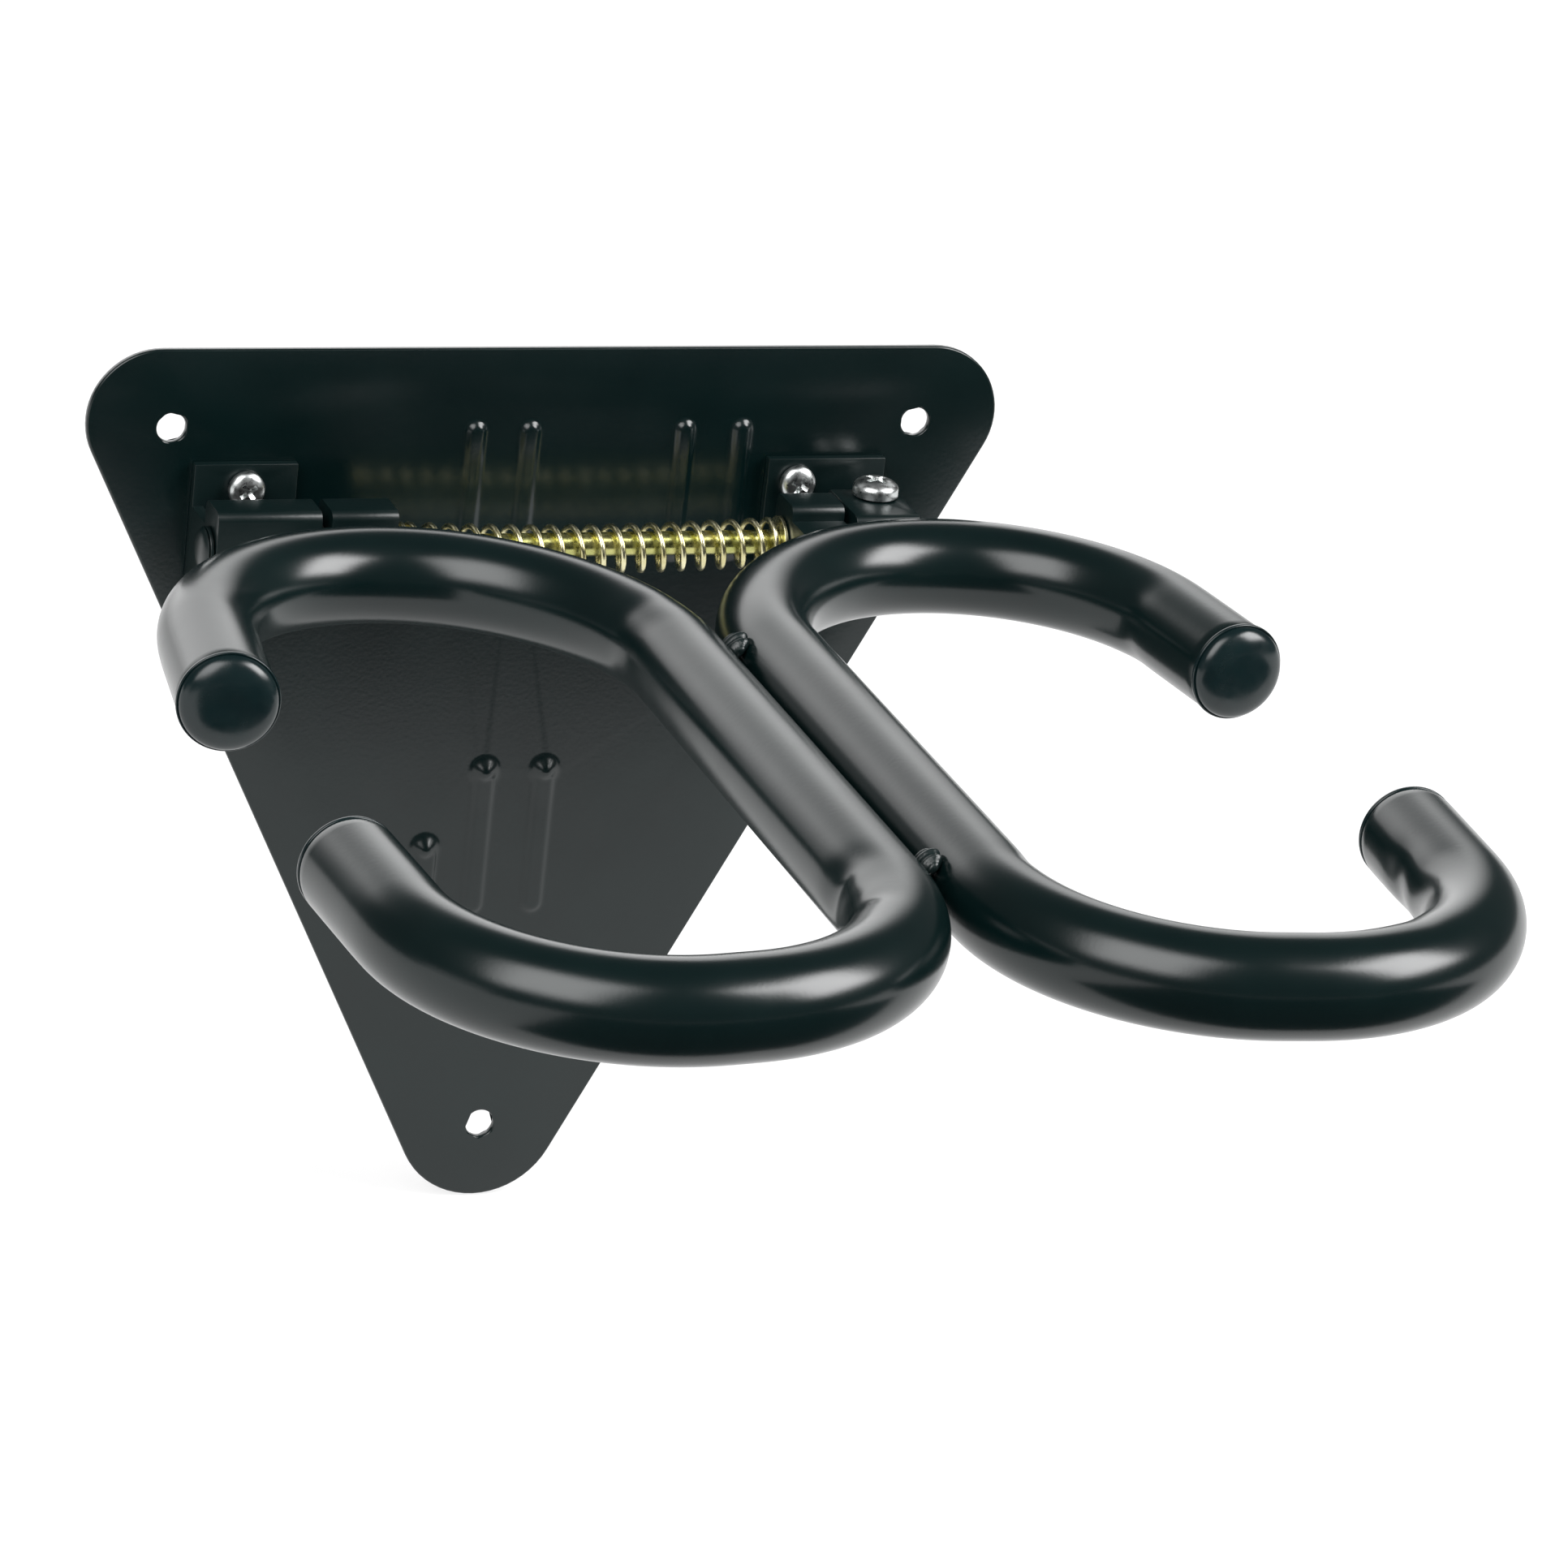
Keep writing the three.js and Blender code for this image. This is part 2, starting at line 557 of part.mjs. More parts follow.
// the bracket screws point into the plate: their shanks end just inside its back face
const seatY = -PLATE_THICKNESS - BASE_THICKNESS - CLEARANCE;
const screwLength = -seatY - CLEARANCE;
for (const [side, screws] of Object.entries(BRACKET_SCREWS)) {
  for (const [level, [x, z]] of Object.entries(screws)) {
    const geometry = panHeadScrew(BRACKET_SCREW_RADIUS, BRACKET_SCREW_HEAD, screwLength, BRACKET_SCREW_SLOT);
    const screw = add(wall, `${side}_bracket_screw_${level}`, geometry, brightZinc);
    screw.position.set(x, seatY, z);
    screw.rotation.x = Math.PI;
  }
}

const lockSeat = RIGHT_KNUCKLE.top + CLEARANCE;
const lockScrew = add(wall, 'rod_lock_screw',
  panHeadScrew(LOCK_SCREW_RADIUS, LOCK_SCREW_HEAD, LOCK_SCREW_LENGTH, LOCK_SCREW_SLOT), brightZinc);
lockScrew.position.set(LOCK_SCREW_X, ROD_Y + LOCK_SCREW_BEHIND_ROD, ROD_Z + lockSeat);
lockScrew.rotation.x = Math.PI / 2;

const loops = { left: makeLoop(-1), right: makeLoop(1) };
const fatTubes = {};
for (const [side, loop] of Object.entries(loops)) {
  fatTubes[side] = tubeAlong(loop.path, TUBE_RADIUS + CLEARANCE);
  add(arms, `${side}_arm_tube`, tubeAlong(loop.path, TUBE_RADIUS, TUBE_RADIUS - TUBE_WALL), powderCoat);
  placeCap(add(arms, `cap_${side}_rear`, makeCap(), capPlastic), loop.rear);
  placeCap(add(arms, `cap_${side}_front`, makeCap(), capPlastic), loop.front);
}

TIE_Y.forEach((y, index) => {
  add(arms, ['tie_rear', 'tie_front'][index], makeTie(y, Object.values(fatTubes)), powderCoat);
});

// the left heel rests on the plate, the right one on the tab of the right bracket's base
add(arms, 'left_lug', makeLug(LEFT_LUG_X, BACK_OF_ROD, fatTubes.left), powderCoat);
add(arms, 'right_lug', makeLug(RIGHT_LUG_X, BACK_OF_ROD - BASE_THICKNESS, fatTubes.right), powderCoat);
for (const [side, [x0, x1]] of [['left', LEFT_LUG_X], ['right', RIGHT_LUG_X]]) {
  add(arms, `${side}_bush`, ringOnRodAxis(BUSH.outer, BUSH.inner, x0, x1), nylon);
}

add(arms, 'left_friction_washer', ringOnRodAxis(
  FRICTION_WASHER_RADIUS, washerHole, LEFT_BRACKET_X[1] + CLEARANCE, LEFT_LUG_X[0] - CLEARANCE), nylon);
add(arms, 'right_friction_washer', ringOnRodAxis(
  FRICTION_WASHER_RADIUS, washerHole, RIGHT_LUG_X[1] + CLEARANCE, RIGHT_BRACKET_X[0] - CLEARANCE), nylon);

const leftSeatStart = LEFT_LUG_X[1] + CLEARANCE;
const rightSeatEnd = RIGHT_LUG_X[0] - CLEARANCE;
add(arms, 'spring_seat_left', ringOnRodAxis(
  SPRING_SEAT.radius, washerHole, leftSeatStart, leftSeatStart + SPRING_SEAT.thickness), yellowZinc);
add(arms, 'spring_seat_right', ringOnRodAxis(
  SPRING_SEAT.radius, washerHole, rightSeatEnd - SPRING_SEAT.thickness, rightSeatEnd), yellowZinc);
add(arms, 'spring', makeSpring(), yellowZinc);

export default rack;
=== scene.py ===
"""Looks of the folding bicycle wall rack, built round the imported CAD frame.

Metres, +Z up. The wall is on the +Y side, the loops point to -Y, and the origin is on the back face of the
wall plate, midway between its two upper screw holes. Every piece rides on body "wall" or body "arms".
"""

import math
import random

import bmesh
import bpy
from mathutils import Matrix, Vector, geometry


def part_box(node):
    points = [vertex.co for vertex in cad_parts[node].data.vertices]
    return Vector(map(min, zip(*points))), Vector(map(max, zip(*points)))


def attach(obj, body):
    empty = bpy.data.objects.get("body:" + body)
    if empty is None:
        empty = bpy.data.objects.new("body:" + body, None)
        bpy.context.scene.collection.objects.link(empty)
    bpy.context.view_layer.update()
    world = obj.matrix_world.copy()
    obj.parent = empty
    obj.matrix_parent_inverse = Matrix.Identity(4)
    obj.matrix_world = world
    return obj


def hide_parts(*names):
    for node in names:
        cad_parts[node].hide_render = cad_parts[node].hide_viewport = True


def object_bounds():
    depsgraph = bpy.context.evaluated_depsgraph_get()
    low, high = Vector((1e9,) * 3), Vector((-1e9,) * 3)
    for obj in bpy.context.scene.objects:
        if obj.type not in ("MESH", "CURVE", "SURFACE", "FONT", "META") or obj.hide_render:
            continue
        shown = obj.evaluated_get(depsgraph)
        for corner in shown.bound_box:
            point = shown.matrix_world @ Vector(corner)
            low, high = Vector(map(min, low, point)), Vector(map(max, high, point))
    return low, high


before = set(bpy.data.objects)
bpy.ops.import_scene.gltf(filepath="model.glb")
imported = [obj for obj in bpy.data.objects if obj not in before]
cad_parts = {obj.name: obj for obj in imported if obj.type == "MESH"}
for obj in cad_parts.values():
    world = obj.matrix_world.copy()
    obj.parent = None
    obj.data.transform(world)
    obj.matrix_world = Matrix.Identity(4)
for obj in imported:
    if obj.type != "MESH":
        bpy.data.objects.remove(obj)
CAD_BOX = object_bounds()

MM = 0.001
GAP = 0.3 * MM  # air between touching pieces, as in the CAD
WALL, ARMS = "wall", "arms"


def node_box(name):
    """The lowest and highest corners of a CAD node."""
    low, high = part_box(name)
    return Vector(low), Vector(high)


def node_middle(name):
    low, high = node_box(name)
    return (low + high) / 2


# ---- Driving dimensions ----

PLATE_THICKNESS = 2.5 * MM
PLATE_EDGE = 0.6 * MM  # rounding of the plate's edges
PLATE_TOP_CORNER = (107.5 * MM, 2 * MM, 19.5 * MM)  # x, z, radius
PLATE_BOTTOM_CORNER = (0.0, -203 * MM, 23 * MM)
WALL_HOLE_RADIUS = 4 * MM
WALL_HOLES = [(-104 * MM, 0.0), (104 * MM, 0.0), (0.0, -204.5 * MM)]
TAPPED_HOLE_RADIUS = 2.8 * MM

TUBE_RADIUS = 12.5 * MM
TUBE_WALL = 1.8 * MM
ARMS_X = 7 * MM
ARMS_Z = -17 * MM
MIDDLE_HALF_PITCH = 13.4 * MM
MIDDLE_REAR_Y = -135 * MM
MIDDLE_FRONT_Y = -286 * MM
# from the middle run outwards: (radius, degrees) is a bend and (length,) is a straight
REAR_BENDS = [(70 * MM, 57), (55 * MM, 115.5)]
REAR_END = {"left": 36.5 * MM, "right": 31 * MM}
FRONT_RUN = [(56 * MM, 84.5), (7.5 * MM,), (55 * MM, 92), (34.5 * MM,)]
SIDES = {"left": -1, "right": 1}

ROD_RADIUS = 3.2 * MM
rod_middle = node_middle("hinge_rod")
ROD_Y, ROD_Z = rod_middle.y, rod_middle.z

# ---- Meshes ----


def mesh_object(name, mesh):
    piece = bpy.data.objects.new(name, mesh)
    bpy.context.scene.collection.objects.link(piece)
    return piece


def object_from(name, vertices, faces, smooth=True):
    mesh = bpy.data.meshes.new(name)
    mesh.from_pydata([tuple(v) for v in vertices], [], faces)
    work = bmesh.new()
    work.from_mesh(mesh)
    bmesh.ops.recalc_face_normals(work, faces=work.faces)
    work.to_mesh(mesh)
    work.free()
    mesh.polygons.foreach_set("use_smooth", [smooth] * len(mesh.polygons))
    return mesh_object(name, mesh)


def apply_modifiers(piece):
    """The piece's mesh becomes what its modifiers make of it."""
    depsgraph = bpy.context.evaluated_depsgraph_get()
    mesh = bpy.data.meshes.new_from_object(piece.evaluated_get(depsgraph))
    piece.modifiers.clear()
    piece.data = mesh
    return piece


def smooth_by_angle(piece, degrees=32):
    """Faces shade smoothly, apart from edges that are sharper than the angle."""
    mesh = piece.data
    work = bmesh.new()
    work.from_mesh(mesh)
    for face in work.faces:
        face.smooth = True
    for edge in work.edges:
        edge.smooth = len(edge.link_faces) == 2 and edge.calc_face_angle(0) < math.radians(degrees)
    work.to_mesh(mesh)
    work.free()
    return piece


def bevel(piece, width, segments=3, degrees=30):
    modifier = piece.modifiers.new("bevel", "BEVEL")
    modifier.width = width
    modifier.segments = segments
    modifier.limit_method = "ANGLE"
    modifier.angle_limit = math.radians(degrees)
    modifier.use_clamp_overlap = True
    apply_modifiers(piece)
    return smooth_by_angle(piece)


def combine(piece, operation, *tools):
    """Adds the tools to the piece, or cuts them out of it, and removes them."""
    for tool in tools:
        modifier = piece.modifiers.new("combine", "BOOLEAN")
        modifier.operation = operation
        modifier.solver = "EXACT"
        modifier.object = tool
        bpy.context.view_layer.update()
        apply_modifiers(piece)
        bpy.data.objects.remove(tool)
    return piece


def loft(name, rings, close_rings=False, smooth=True):
    """A skin over rings of equally many points; the rings are joined in order."""
    count = len(rings[0])
    vertices = [point for ring in rings for point in ring]
    pairs = len(rings) if close_rings else len(rings) - 1
    faces = []
    for i in range(pairs):
        a, b = i * count, (i + 1) % len(rings) * count
        for j in range(count):
            k = (j + 1) % count
            faces.append((a + j, a + k, b + k, b + j))
    if not close_rings:
        faces.append(tuple(reversed(range(count))))
        faces.append(tuple(range((len(rings) - 1) * count, len(rings) * count)))
    return object_from(name, vertices, faces, smooth)


ON_AXIS = 1e-9  # a turned profile's radius below which it is on the axis


def full_turn(count):
    """Angles evenly round a circle."""
    return [2 * math.pi * j / count for j in range(count)]


def turned(name, profile, sides=64):
    """A body turned about its own +Z axis; the profile of (radius, height) runs from bottom to top."""
    vertices, faces, rows = [], [], []
    for radius, height in profile:
        if radius < ON_AXIS:
            rows.append([len(vertices)])
            vertices.append((0, 0, height))
        else:
            start = len(vertices)
            rows.append(list(range(start, start + sides)))
            vertices += [(radius * math.cos(a), radius * math.sin(a), height) for a in full_turn(sides)]
    closed = profile[0][0] > ON_AXIS and profile[-1][0] > ON_AXIS
    following = rows[1:] + ([rows[0]] if closed else [])
    for low, high in zip(rows, following):
        for j in range(sides):
            k = (j + 1) % sides
            if len(low) == 1 and len(high) > 1:
                faces.append((low[0], high[k], high[j]))
            elif len(high) == 1 and len(low) > 1:
                faces.append((low[j], low[k], high[0]))
            elif len(low) > 1:
                faces.append((low[j], low[k], high[k], high[j]))
    return smooth_by_angle(object_from(name, vertices, faces), 35)


def rounded_corner(corner, before, after, radius, steps=3):
    """The points of a fillet at a corner of a turned profile."""
    corner, before, after = Vector(corner), Vector(before), Vector(after)
    to_before = (before - corner).normalized()
    to_after = (after - corner).normalized()
    half = to_before.angle(to_after) / 2
    reach = radius / math.tan(half)
    reach = min(reach, (before - corner).length * 0.49, (after - corner).length * 0.49)
    radius = reach * math.tan(half)
    centre = corner + (to_before + to_after).normalized() * radius / math.sin(half)
    start = corner + to_before * reach - centre
    end = corner + to_after * reach - centre
    between = [start.normalized().slerp(end.normalized(), i / steps) for i in range(steps + 1)]
    return [tuple(centre + unit * radius) for unit in between]


def rounded_profile(points, radius):
    """The turned profile with every corner filleted, apart from its ends on the axis."""
    result = []
    closed = points[0][0] > ON_AXIS
    last = len(points) - 1
    for i, point in enumerate(points):
        if not closed and i in (0, last):
            result.append(point)
        else:
            result += rounded_corner(point, points[i - 1], points[(i + 1) % len(points)], radius)
    return result


def along_x(piece):
    """Turns a body made about +Z so that its axis points to +X."""
    piece.data.transform(Matrix.Rotation(math.pi / 2, 4, "Y"))
    return piece


def facing_front(piece):
    """Turns a body made about +Z so that its axis points to -Y."""
    piece.data.transform(Matrix.Rotation(math.pi / 2, 4, "X"))
    return piece


def moved(piece, x, y, z):
    piece.data.transform(Matrix.Translation((x, y, z)))
    return piece


def side_profile(name, outline, x):
    """A side view, as (forward of the rod, above the rod) in mm, extruded along X."""
    rings = []
    for place in x:
        rings.append([(place, ROD_Y - forward * MM, ROD_Z + up * MM) for forward, up in outline])
    return loft(name, rings, smooth=False)


def arc_points(centre, radius, start, end, steps):
    angles = [math.radians(start + (end - start) * i / steps) for i in range(steps + 1)]
    return [(centre[0] + radius * math.cos(a), centre[1] + radius * math.sin(a)) for a in angles]


# ---- Materials ----


class Nodes:
    """A short way to build a node material."""

    def __init__(self, name, **constants):
        self.material = bpy.data.materials.new(name)
        self.material.use_nodes = True
        self.tree = self.material.node_tree
        self.shader = self.tree.nodes["Principled BSDF"]
        self.position = self.add("ShaderNodeTexCoord").outputs["Object"]
        for socket, value in constants.items():
            self.shader.inputs[socket.replace("_", " ")].default_value = value

    def add(self, kind, **settings):
        node = self.tree.nodes.new(kind)
        for key, value in settings.items():
            setattr(node, key, value)
        return node

    def link(self, source, target):
        self.tree.links.new(source, target)

    def noise(self, scale, detail=4.0, roughness=0.55, stretch=None):
        source = self.position
        if stretch:
            mapping = self.add("ShaderNodeMapping")
            mapping.inputs["Scale"].default_value = stretch
            self.link(self.position, mapping.inputs["Vector"])
            source = mapping.outputs["Vector"]
        node = self.add("ShaderNodeTexNoise")
        node.inputs["Scale"].default_value = scale
        node.inputs["Detail"].default_value = detail
        node.inputs["Roughness"].default_value = roughness
        self.link(source, node.inputs["Vector"])
        return node.outputs["Fac"]

    def ramp(self, source, low, high, start=0.3, end=0.7):
        """Maps a value between start and end to a number or a colour."""
        if isinstance(low, (int, float)):
            node = self.add("ShaderNodeMapRange")
            node.inputs["From Min"].default_value = start
            node.inputs["From Max"].default_value = end
            node.inputs["To Min"].default_value = low
            node.inputs["To Max"].default_value = high
            self.link(source, node.inputs["Value"])
            return node.outputs["Result"]
        node = self.add("ShaderNodeValToRGB")
        node.color_ramp.elements[0].position = start
        node.color_ramp.elements[0].color = (*low, 1)
        node.color_ramp.elements[1].position = end
        node.color_ramp.elements[1].color = (*high, 1)
        self.link(source, node.inputs["Fac"])
        return node.outputs["Color"]

    def colour(self, source):
        self.link(source, self.shader.inputs["Base Color"])

    def roughness(self, source):
        self.link(source, self.shader.inputs["Roughness"])

    def bump(self, *layers):
        """Stacks bumps; each layer is (height source, depth in metres, strength)."""
        normal = None
        for source, depth, strength in layers:
            node = self.add("ShaderNodeBump")
            node.inputs["Distance"].default_value = depth
            node.inputs["Strength"].default_value = strength
            self.link(source, node.inputs["Height"])
            if normal:
                self.link(normal, node.inputs["Normal"])
            normal = node.outputs["Normal"]
        self.link(normal, self.shader.inputs["Normal"])


def powder_coat(name, roughness, peel):
    """Black coat with a fine orange peel, faint clouding and a few dust nibs."""
    m = Nodes(name, Metallic=0.0, IOR=1.5, Specular_IOR_Level=0.5)
    clouds = m.noise(28, detail=5)
    m.colour(m.ramp(clouds, (0.0008, 0.0055, 0.0056), (0.0018, 0.0081, 0.0081)))
    m.roughness(m.ramp(m.noise(60, detail=6), roughness * 0.93, roughness * 1.08))
    nibs = m.add("ShaderNodeTexVoronoi")
    nibs.inputs["Scale"].default_value = 170
    m.link(m.position, nibs.inputs["Vector"])
    spots = m.ramp(nibs.outputs["Distance"], 1.0, 0.0, 0.0, 0.07)
    m.bump((m.noise(900, detail=2), peel, 0.5), (spots, 0.00003, 0.25))
    return m.material


def glossy_plastic():
    """Black moulded plastic with faint flow clouds and fine rub marks."""
    m = Nodes("cap_plastic", Metallic=0.0, IOR=1.49)
    m.colour(m.ramp(m.noise(90, detail=5), (0.002, 0.008, 0.009), (0.004, 0.013, 0.014)))
    m.roughness(m.ramp(m.noise(220, detail=6), 0.17, 0.29))
    m.bump((m.noise(260, detail=3), 0.00008, 0.25))
    return m.material


def nylon():
    m = Nodes("nylon", Metallic=0.0, IOR=1.53)
    m.colour(m.ramp(m.noise(300, detail=4), (0.012, 0.014, 0.015), (0.024, 0.026, 0.027)))
    m.roughness(m.ramp(m.noise(500, detail=5), 0.38, 0.52))
    m.bump((m.noise(1500, detail=2), 0.00003, 0.3))
    return m.material


def plated(name, low, high, roughness, stretch):
    """Zinc-plated steel: uneven passivation colour, drawn or turned grain and small pits."""
    m = Nodes(name, Metallic=1.0)
    m.colour(m.ramp(m.noise(90, detail=6, roughness=0.65), low, high, 0.35, 0.65))
    m.roughness(m.ramp(m.noise(700, detail=5), roughness * 0.75, roughness * 1.3))
    m.bump((m.noise(1, detail=4, stretch=stretch), 0.00004, 0.35), (m.noise(1400, detail=3), 0.00002, 0.3))
    return m.material


def weld_bead_coat():
    """Black coat over a weld bead, a little duller and much lumpier than on the tubes."""
    m = Nodes("weld_coat", Metallic=0.0, IOR=1.5)
    m.colour(m.ramp(m.noise(300, detail=5), (0.003, 0.009, 0.009), (0.007, 0.014, 0.014)))
    m.roughness(m.ramp(m.noise(400, detail=5), 0.26, 0.38))
    m.bump((m.noise(700, detail=4), 0.0004, 0.5))
    return m.material


TUBE_COAT = powder_coat("powder_coat", 0.21, 0.00002)
PLATE_COAT = powder_coat("plate_coat", 0.22, 0.00004)
HINGE_COAT = powder_coat("hinge_coat", 0.33, 0.00006)
CAP_PLASTIC = glossy_plastic()
NYLON = nylon()
SPRING_ZINC = plated("spring_zinc", (0.58, 0.53, 0.27), (0.82, 0.78, 0.52), 0.26, (900, 60, 60))
ROD_ZINC = plated("rod_zinc", (0.40, 0.42, 0.14), (0.64, 0.60, 0.26), 0.26, (1600, 120, 120))
BRIGHT_ZINC = plated("bright_zinc", (0.50, 0.53, 0.53), (0.78, 0.80, 0.79), 0.30, (400, 400, 400))
WELD_COAT = weld_bead_coat()


def finish_piece(piece, body, material, slot, *replaced):
    """Gives a finished piece its material and the body it rides on, and hides the CAD nodes it stands for."""
    piece.data.materials.clear()
    piece.data.materials.append(material)
    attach(piece, body)
    if replaced:
        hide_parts(*replaced)
    return piece


# ---- Wall plate ----

# stiffening beads: x, top z, bottom z, half width, height near the top, height at the bottom, in mm
UPPER_BEADS = [(x, -1.6, -36, 3.3, 1.4, 0.7) for x in (-20.5, -5.4, 38.1, 54.3)]
LOWER_BEADS = [(-8.8, -99.2, -138, 3.7, 1.1, 0.9), (8.2, -99.2, -138, 3.7, 1.1, 0.9),
               (-23.8, -121.5, -150, 4.3, 1.2, 1.1)]
BEAD_FADE = 12  # mm over which a bead sinks from its high top end to its ordinary height
BEAD_SHOULDER = 2.2  # mm over which a bead's side rises
BEAD_GRID = 0.5  # mm between the points of the plate's mesh round a bead
BEAD_MARGIN = 1.8  # mm by which that finer mesh goes past a bead
# the round hood over the top end of each lower bead, in mm
HOOD_RADIUS, HOOD_HEIGHT = 5.0, 2.3
GROOVE_LIMIT = 0.9  # a bead's groove in the back goes no deeper than this share of the plate's thickness


def smooth_step(t):
    t = min(max(t, 0.0), 1.0)
    return t * t * (3 - 2 * t)


def bead_height(x, z):
    """How far the plate's front stands out at (x, z), all in mm."""
    height = 0.0
    for centre, top, bottom, half_width, high, low in UPPER_BEADS + LOWER_BEADS:
        nearest = min(max(z, bottom), top)
        distance = math.hypot(x - centre, z - nearest)
        if distance < half_width:
            crest = low + (high - low) * smooth_step(1 - (top - nearest) / BEAD_FADE)
            height = max(height, crest * smooth_step((half_width - distance) / BEAD_SHOULDER))
    for centre, top, *_ in LOWER_BEADS:
        distance = math.hypot(x - centre, z - top)
        height = max(height, HOOD_HEIGHT * smooth_step(1 - distance / HOOD_RADIUS))
    return height


def outline_round_discs(discs, inset, steps=20):
    """The outline round discs of (x, z, radius), counter-clockwise, drawn in by inset."""
    points = []
    count = len(discs)
    normals = []
    for i, (x, z, radius) in enumerate(discs):
        next_x, next_z, next_radius = discs[(i + 1) % count]
        distance = math.hypot(next_x - x, next_z - z)
        lean = math.asin((radius - next_radius) / distance)
        normals.append(math.atan2(next_z - z, next_x - x) - math.pi / 2 + lean)
    for i, (x, z, radius) in enumerate(discs):
        start, end = normals[i - 1], normals[i]
        while end < start:
            end += 2 * math.pi
        for k in range(steps + 1):
            angle = start + (end - start) * k / steps
            points.append((x + (radius - inset) * math.cos(angle), z + (radius - inset) * math.sin(angle)))
    return points


def circle(x, z, radius, sides=40):
    return [(x + radius * math.cos(a), z + radius * math.sin(a)) for a in full_turn(sides)]


def plate_grid():
    """Points for the plate's faces, in mm: a fine grid round the beads."""
    points = set()
    for centre, top, bottom, half_width, *_ in UPPER_BEADS + LOWER_BEADS:
        reach = half_width + BEAD_MARGIN
        columns = int(2 * reach / BEAD_GRID)
        rows = int((top - bottom + 2 * reach) / BEAD_GRID)
        for i in range(columns + 1):
            for j in range(rows + 1):
                x = centre - reach + i * BEAD_GRID
                z = bottom - reach + j * BEAD_GRID
                if math.hypot(x - centre, z - min(max(z, bottom), top)) < reach:
                    points.add((round(x, 3), round(z, 3)))
    return sorted(points)


def make_wall_plate():
    x, z, radius = PLATE_TOP_CORNER
    discs = [(-x, z, radius), PLATE_BOTTOM_CORNER, (x, z, radius)]
    screws = [node_middle(f"{side}_bracket_screw_{level}")
              for side in ("left", "right") for level in ("top", "bottom")]
    holes = [(hx, hz, WALL_HOLE_RADIUS) for hx, hz in WALL_HOLES]
    holes += [(place.x, place.z, TAPPED_HOLE_RADIUS) for place in screws]

    def loops(inset):
        return [outline_round_discs(discs, inset)] + [circle(hx, hz, r + inset) for hx, hz, r in holes]

    # the flat of the face, inside the rounded edges, as one triangulation used for the front and the back
    points, edges = [], []
    for ring in loops(PLATE_EDGE):
        start = len(points)
        points += [Vector((px, pz)) for px, pz in ring]
        edges += [(start + k, start + (k + 1) % len(ring)) for k in range(len(ring))]
    rim_count = len(points)
    points += [Vector((px * MM, pz * MM)) for px, pz in plate_grid()]
    flat, _, triangles, *_ = geometry.delaunay_2d_cdt(points, edges, [], 0, 1e-7)

    def middle(triangle):
        return sum(flat[i].x for i in triangle) / 3, sum(flat[i].y for i in triangle) / 3

    def in_a_hole(triangle):
        cx, cz = middle(triangle)
        return any(math.hypot(cx - hx, cz - hz) < r for hx, hz, r in holes)

    outline = outline_round_discs(discs, PLATE_EDGE)

    def outside(triangle):
        cx, cz = middle(triangle)
        inside = False
        for (ax, az), (bx, bz) in zip(outline, outline[1:] + outline[:1]):
            if (az > cz) != (bz > cz) and cx < (bx - ax) * (cz - az) / (bz - az) + ax:
                inside = not inside
        return not inside

    kept = [t for t in triangles if not in_a_hole(t) and not outside(t)]
    count = len(flat)
    vertices = []
    for side in ("front", "back"):
        for point in flat:
            raised = bead_height(point.x / MM, point.y / MM) * MM
            groove = min(raised, PLATE_THICKNESS * GROOVE_LIMIT)
            depth = PLATE_THICKNESS + raised if side == "front" else groove
            vertices.append((point.x, -depth, point.y))
    faces = [tuple(t) for t in kept] + [tuple(count + i for i in reversed(t)) for t in kept]

    # the rounded edges: rings from the front's rim over the edge to the back's rim
    quarter = [math.radians(a) for a in (30, 60, 90)]
    over = [(1 - math.sin(a), 1 - math.cos(a)) for a in quarter]
    path = [(inset, depth) for inset, depth in over] + [(inset, -depth) for inset, depth in reversed(over)]
    rings = []
    for inset, depth in path:
        y = -(PLATE_THICKNESS - depth * PLATE_EDGE) if depth > 0 else depth * PLATE_EDGE
        start = len(vertices)
        rings.append(start)
        for ring in loops(inset * PLATE_EDGE):
            vertices += [(px, y, pz) for px, pz in ring]
    rings = [0] + rings + [count]
    start = 0
    for ring in loops(PLATE_EDGE):
        for a, b in zip(rings, rings[1:]):
            for k in range(len(ring)):
                i, j = start + k, start + (k + 1) % len(ring)
                faces.append((a + i, a + j, b + j, b + i))
        start += len(ring)
    assert start == rim_count
    plate = object_from("wall_plate_pressed", vertices, faces)
    smooth_by_angle(plate, 62)
    return finish_piece(plate, WALL, PLATE_COAT, "plate_coat", "wall_plate")


# ---- Loops of bent tube ----

RING_STEP = 1.6 * MM
TUBE_SIDES = 72
INNER_RING_EVERY = 4  # the tube's inner wall has one ring for this many of its outer rings
FULL_BEND_RADIUS = 55 * MM  # a bend this tight flattens the tube by the depths below
FLAT_OUTSIDE = 0.18 * MM
FLAT_INSIDE = 0.10 * MM
END_ROUNDING = 0.3 * MM
# wrinkles on the inside of a bend, in mm and degrees:
# distance along the loop, angle up from the inside, depth, half length, half angle
WRINKLES = {
    "left": [(366.5, 22, 0.9, 6.0, 38), (393, 34, 0.7, 5.0, 34), (201, 40, 0.25, 5.0, 60)],
    "right": [(363, 30, 0.3, 6.0, 45), (551, -12, 0.9, 6.0, 36), (485, 72, 0.2, 6.0, 50),
              (38, 0, 0.35, 6.0, 55)],
}


